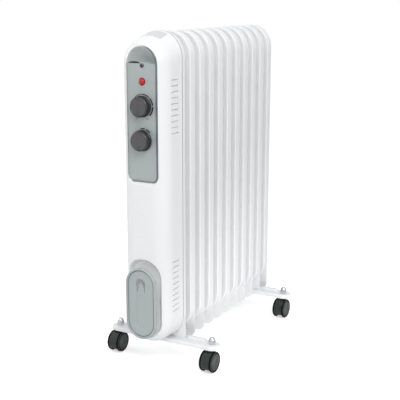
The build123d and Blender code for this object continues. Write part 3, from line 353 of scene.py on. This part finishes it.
# %% Red lens material
LENS_MM = 1.2
LENS_HEIGHT = 0.08
red_lens, tree, output, place = start_material("red_acrylic")
lenses = add_node(tree, "ShaderNodeTexVoronoi", {"Scale": 1 / (LENS_MM * MM)}, {"Vector": place})
deep = add_node(
    tree, "ShaderNodeMix", {"data_type": "RGBA", 6: linear("#F23438"), 7: linear("#7A0C0E")},
    {"Factor": lenses.outputs["Distance"]},
)
cut = add_node(
    tree, "ShaderNodeBump", {"Strength": 0.35, "Distance": LENS_HEIGHT * MM},
    {"Height": lenses.outputs["Distance"]},
)
shader = add_node(
    tree, "ShaderNodeBsdfPrincipled",
    {"IOR": 1.49, "Roughness": 0.2, "Transmission Weight": 0.25},
    {"Base Color": deep.outputs[2], "Normal": cut.outputs["Normal"]},
)
tree.links.new(shader.outputs["BSDF"], output.inputs["Surface"])
print("made", red_lens.name)

# %% [markdown]
# ## Finishes on the CAD solids
# The CAD record names a material slot for each solid. The solids could be dressed one by one, but a
# dictionary that pairs the slots with the finishes does it in one loop. The wheels then get a finish of
# their own, the finger scoop a lighter gray that paints light, and the cover screws a dark metal that
# paints shade.

# %% Give the CAD nodes their finishes
finishes = {
    "white_paint": white_powder_coat,
    "white_plastic": white_abs,
    "gray_plastic": gray_satin,
    "knob_plastic": knob_abs,
    "red_lens": red_lens,
    "dark_plastic": phenolic,
    "plated_steel": zinc,
    "chrome": chrome,
    "caster_plastic": black_nylon,
}
for part in frame["record"]["subparts"]:
    node = nodes[part["node"]]
    node.data.materials.clear()
    node.data.materials.append(finishes[part["material_slot"]])
for name, node in nodes.items():
    if "_wheel_" in name:
        node.data.materials[0] = black_tread
# The lighter gray on the scoop is painted light for its shaded niche
nodes["grip_scoop"].data.materials[0] = scoop_gray_lightened
# The dark metal of the cover screws paints the shade in the notch around them
nodes["cover_screws"].data.materials[0] = dark_metal_painted_shade

# %% [markdown]
# ## Helpers for modelling
# Each new piece starts as a primitive that is set in place and then shaped in edit mode. One helper
# chooses vertices, edges or faces by a rule and one starts a piece. The next closes it: doubles are
# merged, normals turned outwards, and flat and round faces told apart. The last makes a copy with its
# own mesh, for pieces that come more than once.

# %% Modelling helpers
NEAR = 0.01 * MM
MERGE = 0.001 * MM
ROUND_SIDES = 96
BALL = {"segments": 48, "ring_count": 24}
QUARTER_TURN = math.radians(90)
SMOOTH_BELOW = math.radians(30)


def deselect():
    """Leaves nothing selected, so that the next step meets only what it makes."""
    bpy.ops.object.select_all(action="DESELECT")


def pick(piece, kind, rule):
    """Selects the vertices, edges or faces of a piece in edit mode that a rule accepts."""
    kinds = ("vert", "edge", "face")
    bpy.context.tool_settings.mesh_select_mode = [kind == name for name in kinds]
    bpy.ops.mesh.select_all(action="DESELECT")
    mesh = bmesh.from_edit_mesh(piece.data)
    for item in (mesh.verts, mesh.edges, mesh.faces)[kinds.index(kind)]:
        item.select_set(bool(rule(item)))
    mesh.select_flush_mode()
    bmesh.update_edit_mesh(piece.data)


def middle(face):
    """The middle of a face."""
    return sum((vert.co for vert in face.verts), Vector()) / len(face.verts)


def begin(name, stretch=(1, 1, 1)):
    """Names the new primitive, moves its origin to the heater's origin and enters edit mode."""
    piece = bpy.context.active_object
    piece.name = name
    piece.scale = stretch
    bpy.ops.object.transform_apply(location=True, rotation=True, scale=True)
    bpy.ops.object.mode_set(mode="EDIT")
    bpy.ops.mesh.select_all(action="SELECT")
    return piece


def close(piece, material):
    """Merges doubles, turns the normals outwards, smooths and gives the first material."""
    bpy.ops.mesh.select_all(action="SELECT")
    bpy.ops.mesh.remove_doubles(threshold=MERGE)
    bpy.ops.mesh.normals_make_consistent(inside=False)
    bpy.ops.object.mode_set(mode="OBJECT")
    bpy.ops.object.shade_smooth_by_angle(angle=SMOOTH_BELOW)
    piece.data.materials.append(material)
    return piece


def fasten(piece, body, slot, *stands_for):
    """Lets a finished piece ride on a body and hides the solids it replaces; slot is not used."""
    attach(piece, body)
    if stands_for:
        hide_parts(*stands_for)


def copy_of(piece, name, move, turn=0.0):
    """A copy with its own mesh, turned about the upright axis and then moved."""
    deselect()
    piece.select_set(True)
    bpy.context.view_layer.objects.active = piece
    bpy.ops.object.duplicate()
    twin = bpy.context.active_object
    twin.name = name
    twin.rotation_euler.z = turn
    twin.location = move
    bpy.ops.object.transform_apply(location=True, rotation=True, scale=True)
    return twin


panel_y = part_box("control_nuts")[1].y
print("the panel's face is at", round(panel_y, 4))

# %% [markdown]
# ## Knobs
# A knob is a short moulded cylinder that tapers to its face, with a groove near its base, fine ribs
# for the fingers and a turned face inside a thin lip. The ribs could be cut with a boolean each, but
# a cylinder with two sides per rib needs none. Cuts across it mark the groove and the ends of the
# ribs, every second side between them is pressed in, and the front edge is rounded. The back is
# hollow, so that the knob clears the nut behind it.

# %% Model the knobs
RIBS = 48
FACE_SHARE = 0.905
BASE_SHARE = 1.055
BASE_BAND = 2.4 * MM
GROOVE_END = 3.4 * MM
RIB_END = 12.8 * MM
HOLLOW_RADIUS = 9.6 * MM
HOLLOW_DEEP = 4.2 * MM
FACE_SUNK = 0.3 * MM
GROOVE_LIP = 0.2 * MM
GROOVE_DEEP = 0.6 * MM
RIB_LIP = 0.15 * MM
RIB_DEEP = 0.5 * MM
FACE_ROUND = 1.3 * MM
LIP_WIDE = 0.6 * MM
LIP_SLOPE = 0.3 * MM


def model_knob(name, low, high):
    """A knob in the box of its solid."""
    centre = (low + high) / 2
    radius = (high.x - low.x) / 2
    deselect()
    bpy.ops.mesh.primitive_cylinder_add(
        vertices=2 * RIBS, radius=radius, depth=high.y - low.y, location=centre,
        rotation=(QUARTER_TURN, 0, 0),
    )
    piece = begin(name)
    for deep in (BASE_BAND, GROOVE_END, RIB_END):
        bpy.ops.mesh.select_all(action="SELECT")
        bpy.ops.mesh.bisect(plane_co=(0, high.y - deep, 0), plane_no=(0, 1, 0))
    pick(piece, "face", lambda face: face.normal.y < -0.9)
    bpy.ops.transform.resize(value=(FACE_SHARE, 1, FACE_SHARE), center_override=(0, low.y, centre.z))
    pick(piece, "vert", lambda vert: high.y - vert.co.y < BASE_BAND + NEAR)
    bpy.ops.transform.resize(value=(BASE_SHARE, 1, BASE_SHARE), center_override=(0, high.y, centre.z))

    def in_groove(face):
        return BASE_BAND < high.y - middle(face).y < GROOVE_END

    pick(piece, "face", in_groove)
    bpy.ops.mesh.inset(thickness=GROOVE_LIP)
    bpy.ops.transform.shrink_fatten(value=-GROOVE_DEEP)

    def between_ribs(face):
        spot = middle(face) - centre
        side = int((math.atan2(spot.x, spot.z) / math.tau + 1) * 2 * RIBS)
        in_band = GROOVE_END < high.y - middle(face).y < RIB_END
        return in_band and abs(face.normal.y) < 0.5 and side % 2 == 0

    pick(piece, "face", between_ribs)
    bpy.ops.mesh.inset(thickness=RIB_LIP, use_individual=True)
    bpy.ops.transform.shrink_fatten(value=-RIB_DEEP)
    pick(piece, "edge", lambda edge: all(abs(vert.co.y - low.y) < NEAR for vert in edge.verts))
    bpy.ops.mesh.bevel(offset=FACE_ROUND, segments=4, affect="EDGES")
    pick(piece, "face", lambda face: face.normal.y < -0.99 and len(face.verts) > RIBS)
    bpy.ops.mesh.inset(thickness=LIP_WIDE)
    bpy.ops.mesh.inset(thickness=LIP_SLOPE, depth=-FACE_SUNK)
    pick(piece, "face", lambda face: face.normal.y > 0.99 and len(face.verts) > RIBS)
    bpy.ops.mesh.inset(thickness=radius - HOLLOW_RADIUS)
    bpy.ops.mesh.extrude_region_move(TRANSFORM_OT_translate={"value": (0, -HOLLOW_DEEP, 0)})
    close(piece, knob_abs)
    piece.data.materials.append(spun_face)
    for polygon in piece.data.polygons:
        if polygon.normal.y < -0.98 and (polygon.center - centre).length < radius:
            polygon.material_index = 1
    return piece


thermostat_low, thermostat_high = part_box("thermostat_knob")
selector_low, selector_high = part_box("selector_knob")
thermostat_z = (thermostat_low.z + thermostat_high.z) / 2
selector_z = (selector_low.z + selector_high.z) / 2
to_selector = Vector((0, 0, selector_z - thermostat_z))
thermostat_dial = model_knob("thermostat_dial", thermostat_low, thermostat_high)
selector_dial = copy_of(thermostat_dial, "selector_dial", to_selector)
fasten(thermostat_dial, "thermostat", "knob_plastic", "thermostat_knob")
fasten(selector_dial, "selector", "knob_plastic", "selector_knob")
print("two knobs of", len(selector_dial.data.polygons), "faces")

# %% [markdown]
# ## Pointers
# A red line on each knob points at the scale. On the real part it is a groove filled with paint. The
# material of the face could paint it, but a thin bar with softened edges stays sharp up close. It
# stands a hair proud of the turned face and turns with its knob.

# %% Model the pointers
POINTER_FROM = 7.2 * MM
POINTER_TO = 14.4 * MM
POINTER_WIDE = 1.2 * MM
POINTER_THICK = 0.6 * MM
POINTER_PROUD = 0.15 * MM
POINTER_EDGE = 0.12 * MM
face_y = thermostat_low.y
pointer_y = face_y + FACE_SUNK - POINTER_PROUD + POINTER_THICK / 2
deselect()
bpy.ops.mesh.primitive_cube_add(
    size=1, location=(0, pointer_y, thermostat_z + (POINTER_FROM + POINTER_TO) / 2)
)
pointer = begin("thermostat_pointer", (POINTER_WIDE, POINTER_THICK, POINTER_TO - POINTER_FROM))
pick(pointer, "edge", lambda edge: all(vert.co.y < face_y + FACE_SUNK for vert in edge.verts))
bpy.ops.mesh.bevel(offset=POINTER_EDGE, segments=2, affect="EDGES")
close(pointer, pointer_red)
selector_pointer = copy_of(pointer, "selector_pointer", to_selector)
fasten(pointer, "thermostat", "knob_plastic")
fasten(selector_pointer, "selector", "knob_plastic")
print("pointers", round((POINTER_TO - POINTER_FROM) / MM, 1), "mm long")

# %% [markdown]
# ## Pilot lamp
# The lamp cap is a flattened dome on a thin flange. A spun outline would do, but half of a flattened
# ball already has the dome's even curve. Its open edge is drawn out to the flange and back to the
# panel, and the back is closed.

# %% Model the lamp cap
lens_low, lens_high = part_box("lamp_lens")
lamp_z = (lens_low.z + lens_high.z) / 2
FLANGE_RADIUS = (lens_high.x - lens_low.x) / 2
FLANGE_THICK = 0.7 * MM
FLANGE_RIM = 1.0 * MM
DOME_RADIUS = FLANGE_RADIUS - FLANGE_RIM
flange_y = panel_y - FLANGE_THICK
deselect()
bpy.ops.mesh.primitive_uv_sphere_add(
    **BALL, radius=DOME_RADIUS, location=(0, flange_y, lamp_z), rotation=(QUARTER_TURN, 0, 0)
)
lamp = begin("lamp_cap", (1, 1, (flange_y - lens_low.y) / DOME_RADIUS))
bpy.ops.mesh.bisect(plane_co=(0, flange_y, lamp_z), plane_no=(0, 1, 0), clear_outer=True)
pick(lamp, "edge", lambda edge: edge.is_boundary)
bpy.ops.mesh.extrude_edges_move()
grow = FLANGE_RADIUS / DOME_RADIUS
bpy.ops.transform.resize(value=(grow, 1, grow), center_override=(0, flange_y, lamp_z))
bpy.ops.mesh.extrude_edges_move(TRANSFORM_OT_translate={"value": (0, FLANGE_THICK, 0)})
bpy.ops.mesh.edge_face_add()
close(lamp, red_lens)
fasten(lamp, "heater", "red_lens", "lamp_lens")
print("lamp cap", len(lamp.data.polygons), "faces")

# %% [markdown]
# ## Printed scales
# The scale round the thermostat is a row of ink bands that widen with the heat. The selector has
# three bands and four step numbers. An image could carry the print, but meshes keep its edges sharp at
# any distance. Each band is a small upright rectangle that is spun about the knob's axis: seen from
# the front, a negative angle about +Y runs clockwise. The words and numbers are text turned to mesh.
# Ink is thin, so each mark stands only a tenth of a millimetre proud of the panel.

# %% Print the bands
INK_PROUD = 0.1 * MM
INK_THICK = 0.3 * MM
BAND_STEPS = 16


def print_band(name, centre_z, radius, wide, start, end):
    """A band of ink from one clock angle to another, both from twelve o'clock."""
    axis = (0, panel_y, centre_z)
    deselect()
    bpy.ops.mesh.primitive_plane_add(
        size=1, location=(0, panel_y - INK_PROUD + INK_THICK / 2, centre_z + radius),
        rotation=(0, QUARTER_TURN, 0),
    )
    piece = begin(name, (wide * MM, INK_THICK, 1))
    bpy.ops.transform.rotate(value=-math.radians(start), orient_axis="Y", center_override=axis)
    bpy.ops.mesh.spin(steps=BAND_STEPS, angle=-math.radians(end - start), center=axis, axis=(0, 1, 0))
    fasten(close(piece, ink), "heater", "dark_plastic")


HEAT_RADIUS = 21.8 * MM
STEP_RADIUS = 21.6 * MM
# Clock angles of a band's start and end in degrees, and its width in millimetres
HEAT_BANDS = ((-52, -4, 1.6), (0, 40, 2.2), (45, 85, 2.7), (90, 136, 3.4))
STEP_BANDS = ((-50, -16, 0.6), (-13, 11.5, 2.5), (18.5, 46, 2.5))
for number, (start, end, wide) in enumerate(HEAT_BANDS):
    print_band(f"heat_band_{number + 1}", thermostat_z, HEAT_RADIUS, wide, start, end)
for number, (start, end, wide) in enumerate(STEP_BANDS):
    print_band(f"step_band_{number + 1}", selector_z, STEP_RADIUS, wide, start, end)
print(len(HEAT_BANDS), "heat bands and", len(STEP_BANDS), "step bands")

# %% Print the words and numbers
LETTER_TALL = 2.4 * MM
CAPITAL_SHARE = 0.7
WORD_DOWN = 22.2 * MM
# Each word with its place beside the middle, each number with its clock angle in degrees
WORDS = (("MIN", -12.5 * MM), ("MAX", 10.5 * MM))
NUMBER_RADIUS = 25.0 * MM
NUMBERS = (("0", -55), ("1", -17), ("2", 15), ("3", 50))


def print_text(name, body, x, z):
    """A word or a number in ink, centred on a spot of the panel."""
    deselect()
    bpy.ops.object.text_add(location=(x, panel_y, z), rotation=(QUARTER_TURN, 0, 0))
    text = bpy.context.active_object.data
    text.body = body
    text.size = LETTER_TALL / CAPITAL_SHARE
    text.extrude = INK_PROUD
    text.align_x = "CENTER"
    text.align_y = "CENTER"
    bpy.ops.object.convert(target="MESH")
    piece = begin(name)
    fasten(close(piece, ink), "heater", "dark_plastic")


for word, x in WORDS:
    print_text("word_" + word.lower(), word, x, thermostat_z - WORD_DOWN)
for digit, angle in NUMBERS:
    turn = math.radians(angle)
    x = NUMBER_RADIUS * math.sin(turn)
    z = selector_z + NUMBER_RADIUS * math.cos(turn)
    print_text("step_" + digit, digit, x, z)
print("printed MIN, MAX and four step numbers")

# %% [markdown]
# ## Painted shade in the joint under the finger scoop
# Where the scoop meets the panel, the joint gapes on the left and shows a dark lens shaped slit of
# shade. The slit could be cut into the scoop, but a dark piece in the joint paints the shade and
# leaves the solid whole. A flattened ball cut along the panel's upper edge gives its form: straight
# below, bowed above.

# %% Model the painted shade in the joint
SLIT_FROM = -29 * MM
SLIT_TO = -4 * MM
SLIT_TALL = 3.4 * MM
SLIT_DEEP = 0.8 * MM
SLIT_BEHIND = 0.5 * MM
joint_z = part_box("control_panel")[1].z
deselect()
bpy.ops.mesh.primitive_uv_sphere_add(
    **BALL, radius=1, location=((SLIT_FROM + SLIT_TO) / 2, panel_y + SLIT_BEHIND, joint_z)
)
slit = begin("scoop_joint_painted_shade", ((SLIT_TO - SLIT_FROM) / 2, SLIT_DEEP, SLIT_TALL))
bpy.ops.mesh.bisect(plane_co=(0, 0, joint_z), plane_no=(0, 0, 1), clear_inner=True, use_fill=True)
# The dark phenolic paints the shade inside the gap
fasten(close(slit, phenolic), "heater", "dark_plastic")
print("joint", len(slit.data.polygons), "faces")

# %% [markdown]
# ## Painted shade along the panel's edge
# Seen from the right, shade along the panel's edge shows as a dark band that runs from the top of the
# arch down to the lower corner and thins out along the bottom. A strip of darker gray paints that shade.
# A bevelled curve would be equally wide all along. A plate with the outline of panel and scoop gives the
# taper: its corners are rounded, and a copy of the plate, moved to the left and up, is taken away, which
# leaves the strip.

# %% Model the painted shade along the panel's edge
EDGE_WIDE = 3.2 * MM
EDGE_LIFT = 0.4 * MM
EDGE_PROUD = 0.2 * MM
LOWER_CORNER = 12 * MM
CORNER_STEPS = 24
ARCH_SHARE = 0.999
CUT_OVER = 1 * MM
panel_low, panel_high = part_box("control_panel")
scoop_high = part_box("grip_scoop")[1]
edge_y = panel_low.y - EDGE_PROUD
edge_deep = panel_y - edge_y


def model_plate(name, front, deep):
    """A plate with the outline of panel and scoop: a full arch above, two round corners below."""
    tall = scoop_high.z - panel_low.z
    deselect()
    bpy.ops.mesh.primitive_plane_add(
        size=1, location=(0, front, panel_low.z + tall / 2), rotation=(QUARTER_TURN, 0, 0)
    )
    piece = begin(name, (2 * panel_high.x, tall, 1))
    for corners_low, corner in ((False, ARCH_SHARE * panel_high.x), (True, LOWER_CORNER)):
        pick(piece, "vert", lambda vert: (vert.co.z < panel_high.z - tall / 2) == corners_low)
        bpy.ops.mesh.bevel(offset=corner, segments=CORNER_STEPS, affect="VERTICES")
    bpy.ops.mesh.select_all(action="SELECT")
    bpy.ops.mesh.extrude_region_move(TRANSFORM_OT_translate={"value": (0, deep, 0)})
    return close(piece, shade_gray)


cutter = model_plate("edge_cutter", edge_y - CUT_OVER, edge_deep + 2 * CUT_OVER)
cutter.location = (-EDGE_WIDE, 0, EDGE_LIFT)
# The strip of darker gray is painted shade along the panel's edge
edge_shade_strip = model_plate("panel_edge_shade", edge_y, edge_deep)
cut = edge_shade_strip.modifiers.new("strip", "BOOLEAN")
cut.operation = "DIFFERENCE"
cut.object = cutter
bpy.ops.object.modifier_apply(modifier=cut.name)
bpy.data.objects.remove(cutter)
fasten(edge_shade_strip, "heater", "gray_plastic")
print("rolled edge", len(edge_shade_strip.data.polygons), "faces")

# %% [markdown]
# ## Painted shade behind the box and in the winder
# Where the box meets the first fin, shade falls in the joint and shows as a gray line round the box; a
# thin pale gray band paints it. In the winder's dish a dark band paints the shade along the foot of the
# rim. Both have the same outline, two half circles joined by straight sides. A curve could follow it,
# but a tube gives flat faces and a sharp edge: an open tube is cut to its upper half, drawn down to half
# height, mirrored for the lower half and given a thickness.

# %% Model the painted shade behind the box and in the winder
SEAL_WIDE = 2.4 * MM
SEAL_FROM_REAR = 4.0 * MM
SEAL_THICK = 0.4 * MM
LINE_WIDE = 1.6 * MM
LINE_INSET = 4.4 * MM
DISH_DEEP = 2.2 * MM
PROUD = 0.1 * MM
LINE_DEEP = 0.4 * MM


def model_ring(name, low, high, inset, front, deep, thick, material):
    """A ring inside the outline of a tall piece with round ends."""
    end_z = high.z - high.x
    half_z = (low.z + high.z) / 2
    deselect()
    bpy.ops.mesh.primitive_cylinder_add(
        vertices=ROUND_SIDES, radius=high.x - inset, depth=deep, end_fill_type="NOTHING",
        location=(0, front + deep / 2, end_z), rotation=(QUARTER_TURN, 0, 0),
    )
    piece = begin(name)
    bpy.ops.mesh.bisect(plane_co=(0, 0, end_z), plane_no=(0, 0, 1), clear_inner=True)
    pick(piece, "edge", lambda edge: all(abs(vert.co.z - end_z) < NEAR for vert in edge.verts))
    bpy.ops.mesh.extrude_edges_move(TRANSFORM_OT_translate={"value": (0, 0, half_z - end_z)})
    bpy.ops.mesh.select_all(action="SELECT")
    bpy.ops.mesh.duplicate()
    bpy.ops.transform.resize(value=(1, 1, -1), center_override=(0, 0, half_z))
    bpy.ops.mesh.select_all(action="SELECT")
    bpy.ops.mesh.remove_doubles(threshold=MERGE)
    bpy.ops.mesh.normals_make_consistent(inside=False)
    bpy.ops.mesh.solidify(thickness=thick)
    return close(piece, material)


shell_low, shell_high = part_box("box_shell")
seal_front = shell_high.y - SEAL_FROM_REAR - SEAL_WIDE / 2
# A pale gray band paints the shade in the joint behind the box
seal = model_ring("box_seal_painted_shade", shell_low, shell_high, -PROUD, seal_front, SEAL_WIDE, SEAL_THICK, seal_shade_gray)
fasten(seal, "heater", "white_plastic")
winder_low, winder_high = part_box("winder_plate")
dish_y = winder_low.y + DISH_DEEP
# A dark band paints the shade at the foot of the winder's rim
line = model_ring(
    "winder_line_painted_shade", winder_low, winder_high, LINE_INSET, dish_y - PROUD, LINE_DEEP, LINE_WIDE, shade_gray
)
fasten(line, "heater", "gray_plastic")
print("seal and line of", len(seal.data.polygons), "faces each")

# %% [markdown]
# ## Wheel covers
# Each caster wheel carries a cover pressed into its outer face: a shallow disc with a rounded edge,
# a ring groove and a dimple over the axle. Insets of the disc's face give groove and dimple without
# any cutting. One cover is modelled and copied to the other seven wheels, four of them turned round.

# %% Model the wheel covers
COVER_SIDES = 64
COVER_SHARE = 0.955
COVER_THICK = 1.2 * MM
COVER_ROUND = 0.5 * MM
RING_INSET = 1.6 * MM
RING_SLOPE = 0.3 * MM
RING_DEEP = 0.3 * MM
RING_RISE = 0.25 * MM
DIMPLE_RADIUS = 2.8 * MM
DIMPLE_SLOPE = 1.2 * MM
DIMPLE_DEEP = 0.35 * MM
first_low, first_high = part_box("front_right_wheel_right")
first_axis = (first_low + first_high) / 2
cover_radius = COVER_SHARE * (first_high.z - first_low.z) / 2
plain_radius = cover_radius - COVER_ROUND - RING_INSET - 2 * RING_SLOPE
outer_x = first_high.x
deselect()
bpy.ops.mesh.primitive_cylinder_add(
    vertices=COVER_SIDES, radius=cover_radius, depth=COVER_THICK,
    location=(outer_x - COVER_THICK / 2, first_axis.y, first_axis.z), rotation=(0, QUARTER_TURN, 0),
)
cover = begin("front_right_cover_right")
pick(cover, "edge", lambda edge: all(abs(vert.co.x - outer_x) < NEAR for vert in edge.verts))
bpy.ops.mesh.bevel(offset=COVER_ROUND, segments=3, affect="EDGES")
pick(cover, "face", lambda face: face.normal.x > 0.99 and len(face.verts) == COVER_SIDES)
bpy.ops.mesh.inset(thickness=RING_INSET)
bpy.ops.mesh.inset(thickness=RING_SLOPE, depth=-RING_DEEP)
bpy.ops.mesh.inset(thickness=RING_SLOPE, depth=RING_RISE)
bpy.ops.mesh.inset(thickness=plain_radius - DIMPLE_RADIUS)
bpy.ops.mesh.inset(thickness=DIMPLE_SLOPE, depth=-DIMPLE_DEEP)
close(cover, gray_nylon)
for corner in ("front_right", "front_left", "rear_right", "rear_left"):
    for hand, letter, turn in (("right", "b", 0.0), ("left", "a", math.pi)):
        low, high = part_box(f"{corner}_wheel_{hand}")
        piece = cover
        if cover.name != f"{corner}_cover_{hand}":
            face = (low + high) / 2
            face.x = high.x if hand == "right" else low.x
            start = Vector((outer_x, first_axis.y, first_axis.z))
            start.rotate(Matrix.Rotation(turn, 3, "Z"))
            piece = copy_of(cover, f"{corner}_cover_{hand}", face - start, turn)
        fasten(piece, f"{corner}_wheel_{letter}", "caster_plastic")
print("covers on eight wheels,", round(cover_radius / MM, 1), "mm in radius")

# %% [markdown]
# ## Skirts of the caster hoods
# The moulded hood of a caster wraps round between its two wheels and reaches well below the axle. The
# skirt goes on from the hood's lower edge. It could be cut from a solid disc, but an open tube about
# the axle is quicker: cut above and below, it leaves a strip in front and one behind, and the strips
# get a wall and softened edges.

# %% Model the hood skirts
SKIRT_GAP = 0.3 * MM
SKIRT_WALL = 2.0 * MM
SKIRT_TOP = 4.0 * MM
SKIRT_LOW = 12.0 * MM
SKIRT_EDGE = 0.4 * MM
SKIRT_EDGE_BAND = 1.2 * MM
SHARP = math.radians(57)


def axle_centre(corner):
    """The middle of a caster's axle."""
    low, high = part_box(f"{corner}_axle")
    return (low + high) / 2


hood_low, hood_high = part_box("front_right_hood")
hub = axle_centre("front_right")
skirt_radius = (first_high.z - first_low.z) / 2 - SKIRT_GAP
deselect()
bpy.ops.mesh.primitive_cylinder_add(
    vertices=ROUND_SIDES, radius=skirt_radius, depth=hood_high.x - hood_low.x, end_fill_type="NOTHING",
    location=hub, rotation=(0, QUARTER_TURN, 0),
)
skirt = begin("front_right_skirt")
bpy.ops.mesh.bisect(plane_co=(0, 0, hub.z - SKIRT_TOP), plane_no=(0, 0, 1), clear_outer=True)
bpy.ops.mesh.select_all(action="SELECT")
bpy.ops.mesh.bisect(plane_co=(0, 0, hub.z - SKIRT_LOW), plane_no=(0, 0, 1), clear_inner=True)
bpy.ops.mesh.select_all(action="SELECT")
bpy.ops.mesh.normals_make_consistent(inside=False)
bpy.ops.mesh.solidify(thickness=SKIRT_WALL)
below = hub.z - SKIRT_LOW + SKIRT_EDGE_BAND


def lower_edge(edge):
    """A sharp edge at the bottom of the skirt."""
    return all(vert.co.z < below for vert in edge.verts) and edge.calc_face_angle(0) > SHARP


pick(skirt, "edge", lower_edge)
bpy.ops.mesh.bevel(offset=SKIRT_EDGE, segments=2, affect="EDGES")
close(skirt, black_nylon)
fasten(skirt, "front_right_caster", "caster_plastic")
for corner in ("front_left", "rear_right", "rear_left"):
    twin = copy_of(skirt, f"{corner}_skirt", axle_centre(corner) - hub)
    fasten(twin, f"{corner}_caster", "caster_plastic")
print("four skirts of", len(skirt.data.polygons), "faces")

# %% [markdown]
# ## Camera
# The camera stands to the right of the front, a little above the heater. A wide lens would spread the
# fins, so a short telephoto lens is used, as for a catalogue picture: it keeps upright edges nearly
# parallel.

# %% Set the camera
camera_data = bpy.data.cameras.new("camera")
camera_data.lens = 79.16
camera_data.sensor_width = 36
camera = bpy.data.objects.new("camera", camera_data)
camera.location = (0.8594, -1.5446, 0.7134)
camera.rotation_euler = (math.radians(90 - 13.34), 0, math.radians(29.20))
scene.collection.objects.link(camera)
scene.camera = camera
print("lens", camera_data.lens, "mm")

# %% [markdown]
# ## Studio light
# The room is plain white. What the camera and mirror surfaces see of it is pure white, while the light
# it gives is weaker: with the room alone a white heater would lose its form. A large soft lamp to the
# right of the camera shapes the rounded corners, a weaker one on the left fills the shadows, one above
# brightens the crest of the box, and a small lamp near the floor reaches the tabs under the fins.

# %% Light the studio
ROOM_LIGHT = 0.555
scene.view_settings.view_transform = "Standard"
world = bpy.data.worlds.new("studio")
world.use_nodes = True
scene.world = world
tree = world.node_tree
tree.nodes.clear()
rays = add_node(tree, "ShaderNodeLightPath").outputs
mirrored = add_node(
    tree, "ShaderNodeMath", {"operation": "MAXIMUM"},
    {0: rays["Is Glossy Ray"], 1: rays["Is Transmission Ray"]},
)
seen = add_node(
    tree, "ShaderNodeMath", {"operation": "MAXIMUM"},
    {0: rays["Is Camera Ray"], 1: mirrored.outputs[0]},
)
room = add_node(tree, "ShaderNodeBackground", {"Color": (1, 1, 1, 1), "Strength": ROOM_LIGHT})
white = add_node(tree, "ShaderNodeBackground", {"Color": (1, 1, 1, 1), "Strength": 1.0})
mix = add_node(
    tree, "ShaderNodeMixShader", None, {0: seen.outputs[0], 1: room.outputs[0], 2: white.outputs[0]}
)
add_node(tree, "ShaderNodeOutputWorld", None, {"Surface": mix.outputs[0]})


def softbox(name, place, aim, size, power, spread=180):
    """A round area lamp turned towards a spot: metres, watts, and degrees for its spread."""
    data = bpy.data.lights.new(name, "AREA")
    data.shape = "DISK"
    data.size = size
    data.energy = power
    data.spread = math.radians(spread)
    lamp = bpy.data.objects.new(name, data)
    lamp.visible_camera = False
    lamp.location = place
    lamp.rotation_euler = (Vector(aim) - Vector(place)).to_track_quat("-Z", "Y").to_euler()
    scene.collection.objects.link(lamp)


softbox("key", (1.45, -1.8, 2.2), (0, -0.05, 0.35), 1.3, 37)
softbox("fill", (-2.2, -0.5, 0.7), (0, -0.1, 0.35), 1.6, 12)
softbox("low", (0.85, -0.55, 0.06), (0.02, 0.1, 0.0), 0.12, 0.2, 40)
softbox("top", (0.2, -0.5, 2.6), (0, -0.1, 0.6), 1.2, 9)
print("four soft lamps in a white room")

# %% [markdown]
# ## Floor
# A sheet of white paper runs under the heater and takes its soft shadows. More light would whiten the
# paper but wash out the heater too, so a small glow that only the camera sees keeps the paper's far
# end as white as the room. Paper fibres are finer than the pattern, which is drawn so that it shows.

# %% Lay the floor
FIBRE_MM = 4
FLOOR_GLOW = 0.5
FLOOR_SIZE = 30
deselect()
bpy.ops.mesh.primitive_plane_add(size=FLOOR_SIZE, location=(0, 0, 0))
floor = bpy.context.active_object
floor.name = "floor"
paper_white, tree, output, place = start_material("white_paper")
fibre = add_node(
    tree, "ShaderNodeTexNoise", {"Scale": 1 / (FIBRE_MM * MM), "Detail": 2.0}, {"Vector": place}
)
sheet = add_node(
    tree, "ShaderNodeMix", {"data_type": "RGBA", 6: linear("#F4F4F4"), 7: linear("#F2F2F2")},
    {"Factor": fibre.outputs["Fac"]},
)
paper = add_node(tree, "ShaderNodeBsdfDiffuse", None, {"Color": sheet.outputs[2]})
from_camera = add_node(tree, "ShaderNodeLightPath").outputs["Is Camera Ray"]
glow = add_node(tree, "ShaderNodeMath", {"operation": "MULTIPLY", 1: FLOOR_GLOW}, {0: from_camera})
lift = add_node(tree, "ShaderNodeEmission", {"Color": (1, 1, 1, 1)}, {"Strength": glow.outputs[0]})
total = add_node(tree, "ShaderNodeAddShader", None, {0: paper.outputs[0], 1: lift.outputs[0]})
tree.links.new(total.outputs[0], output.inputs["Surface"])
floor.data.materials.append(paper_white)
print("floor laid")
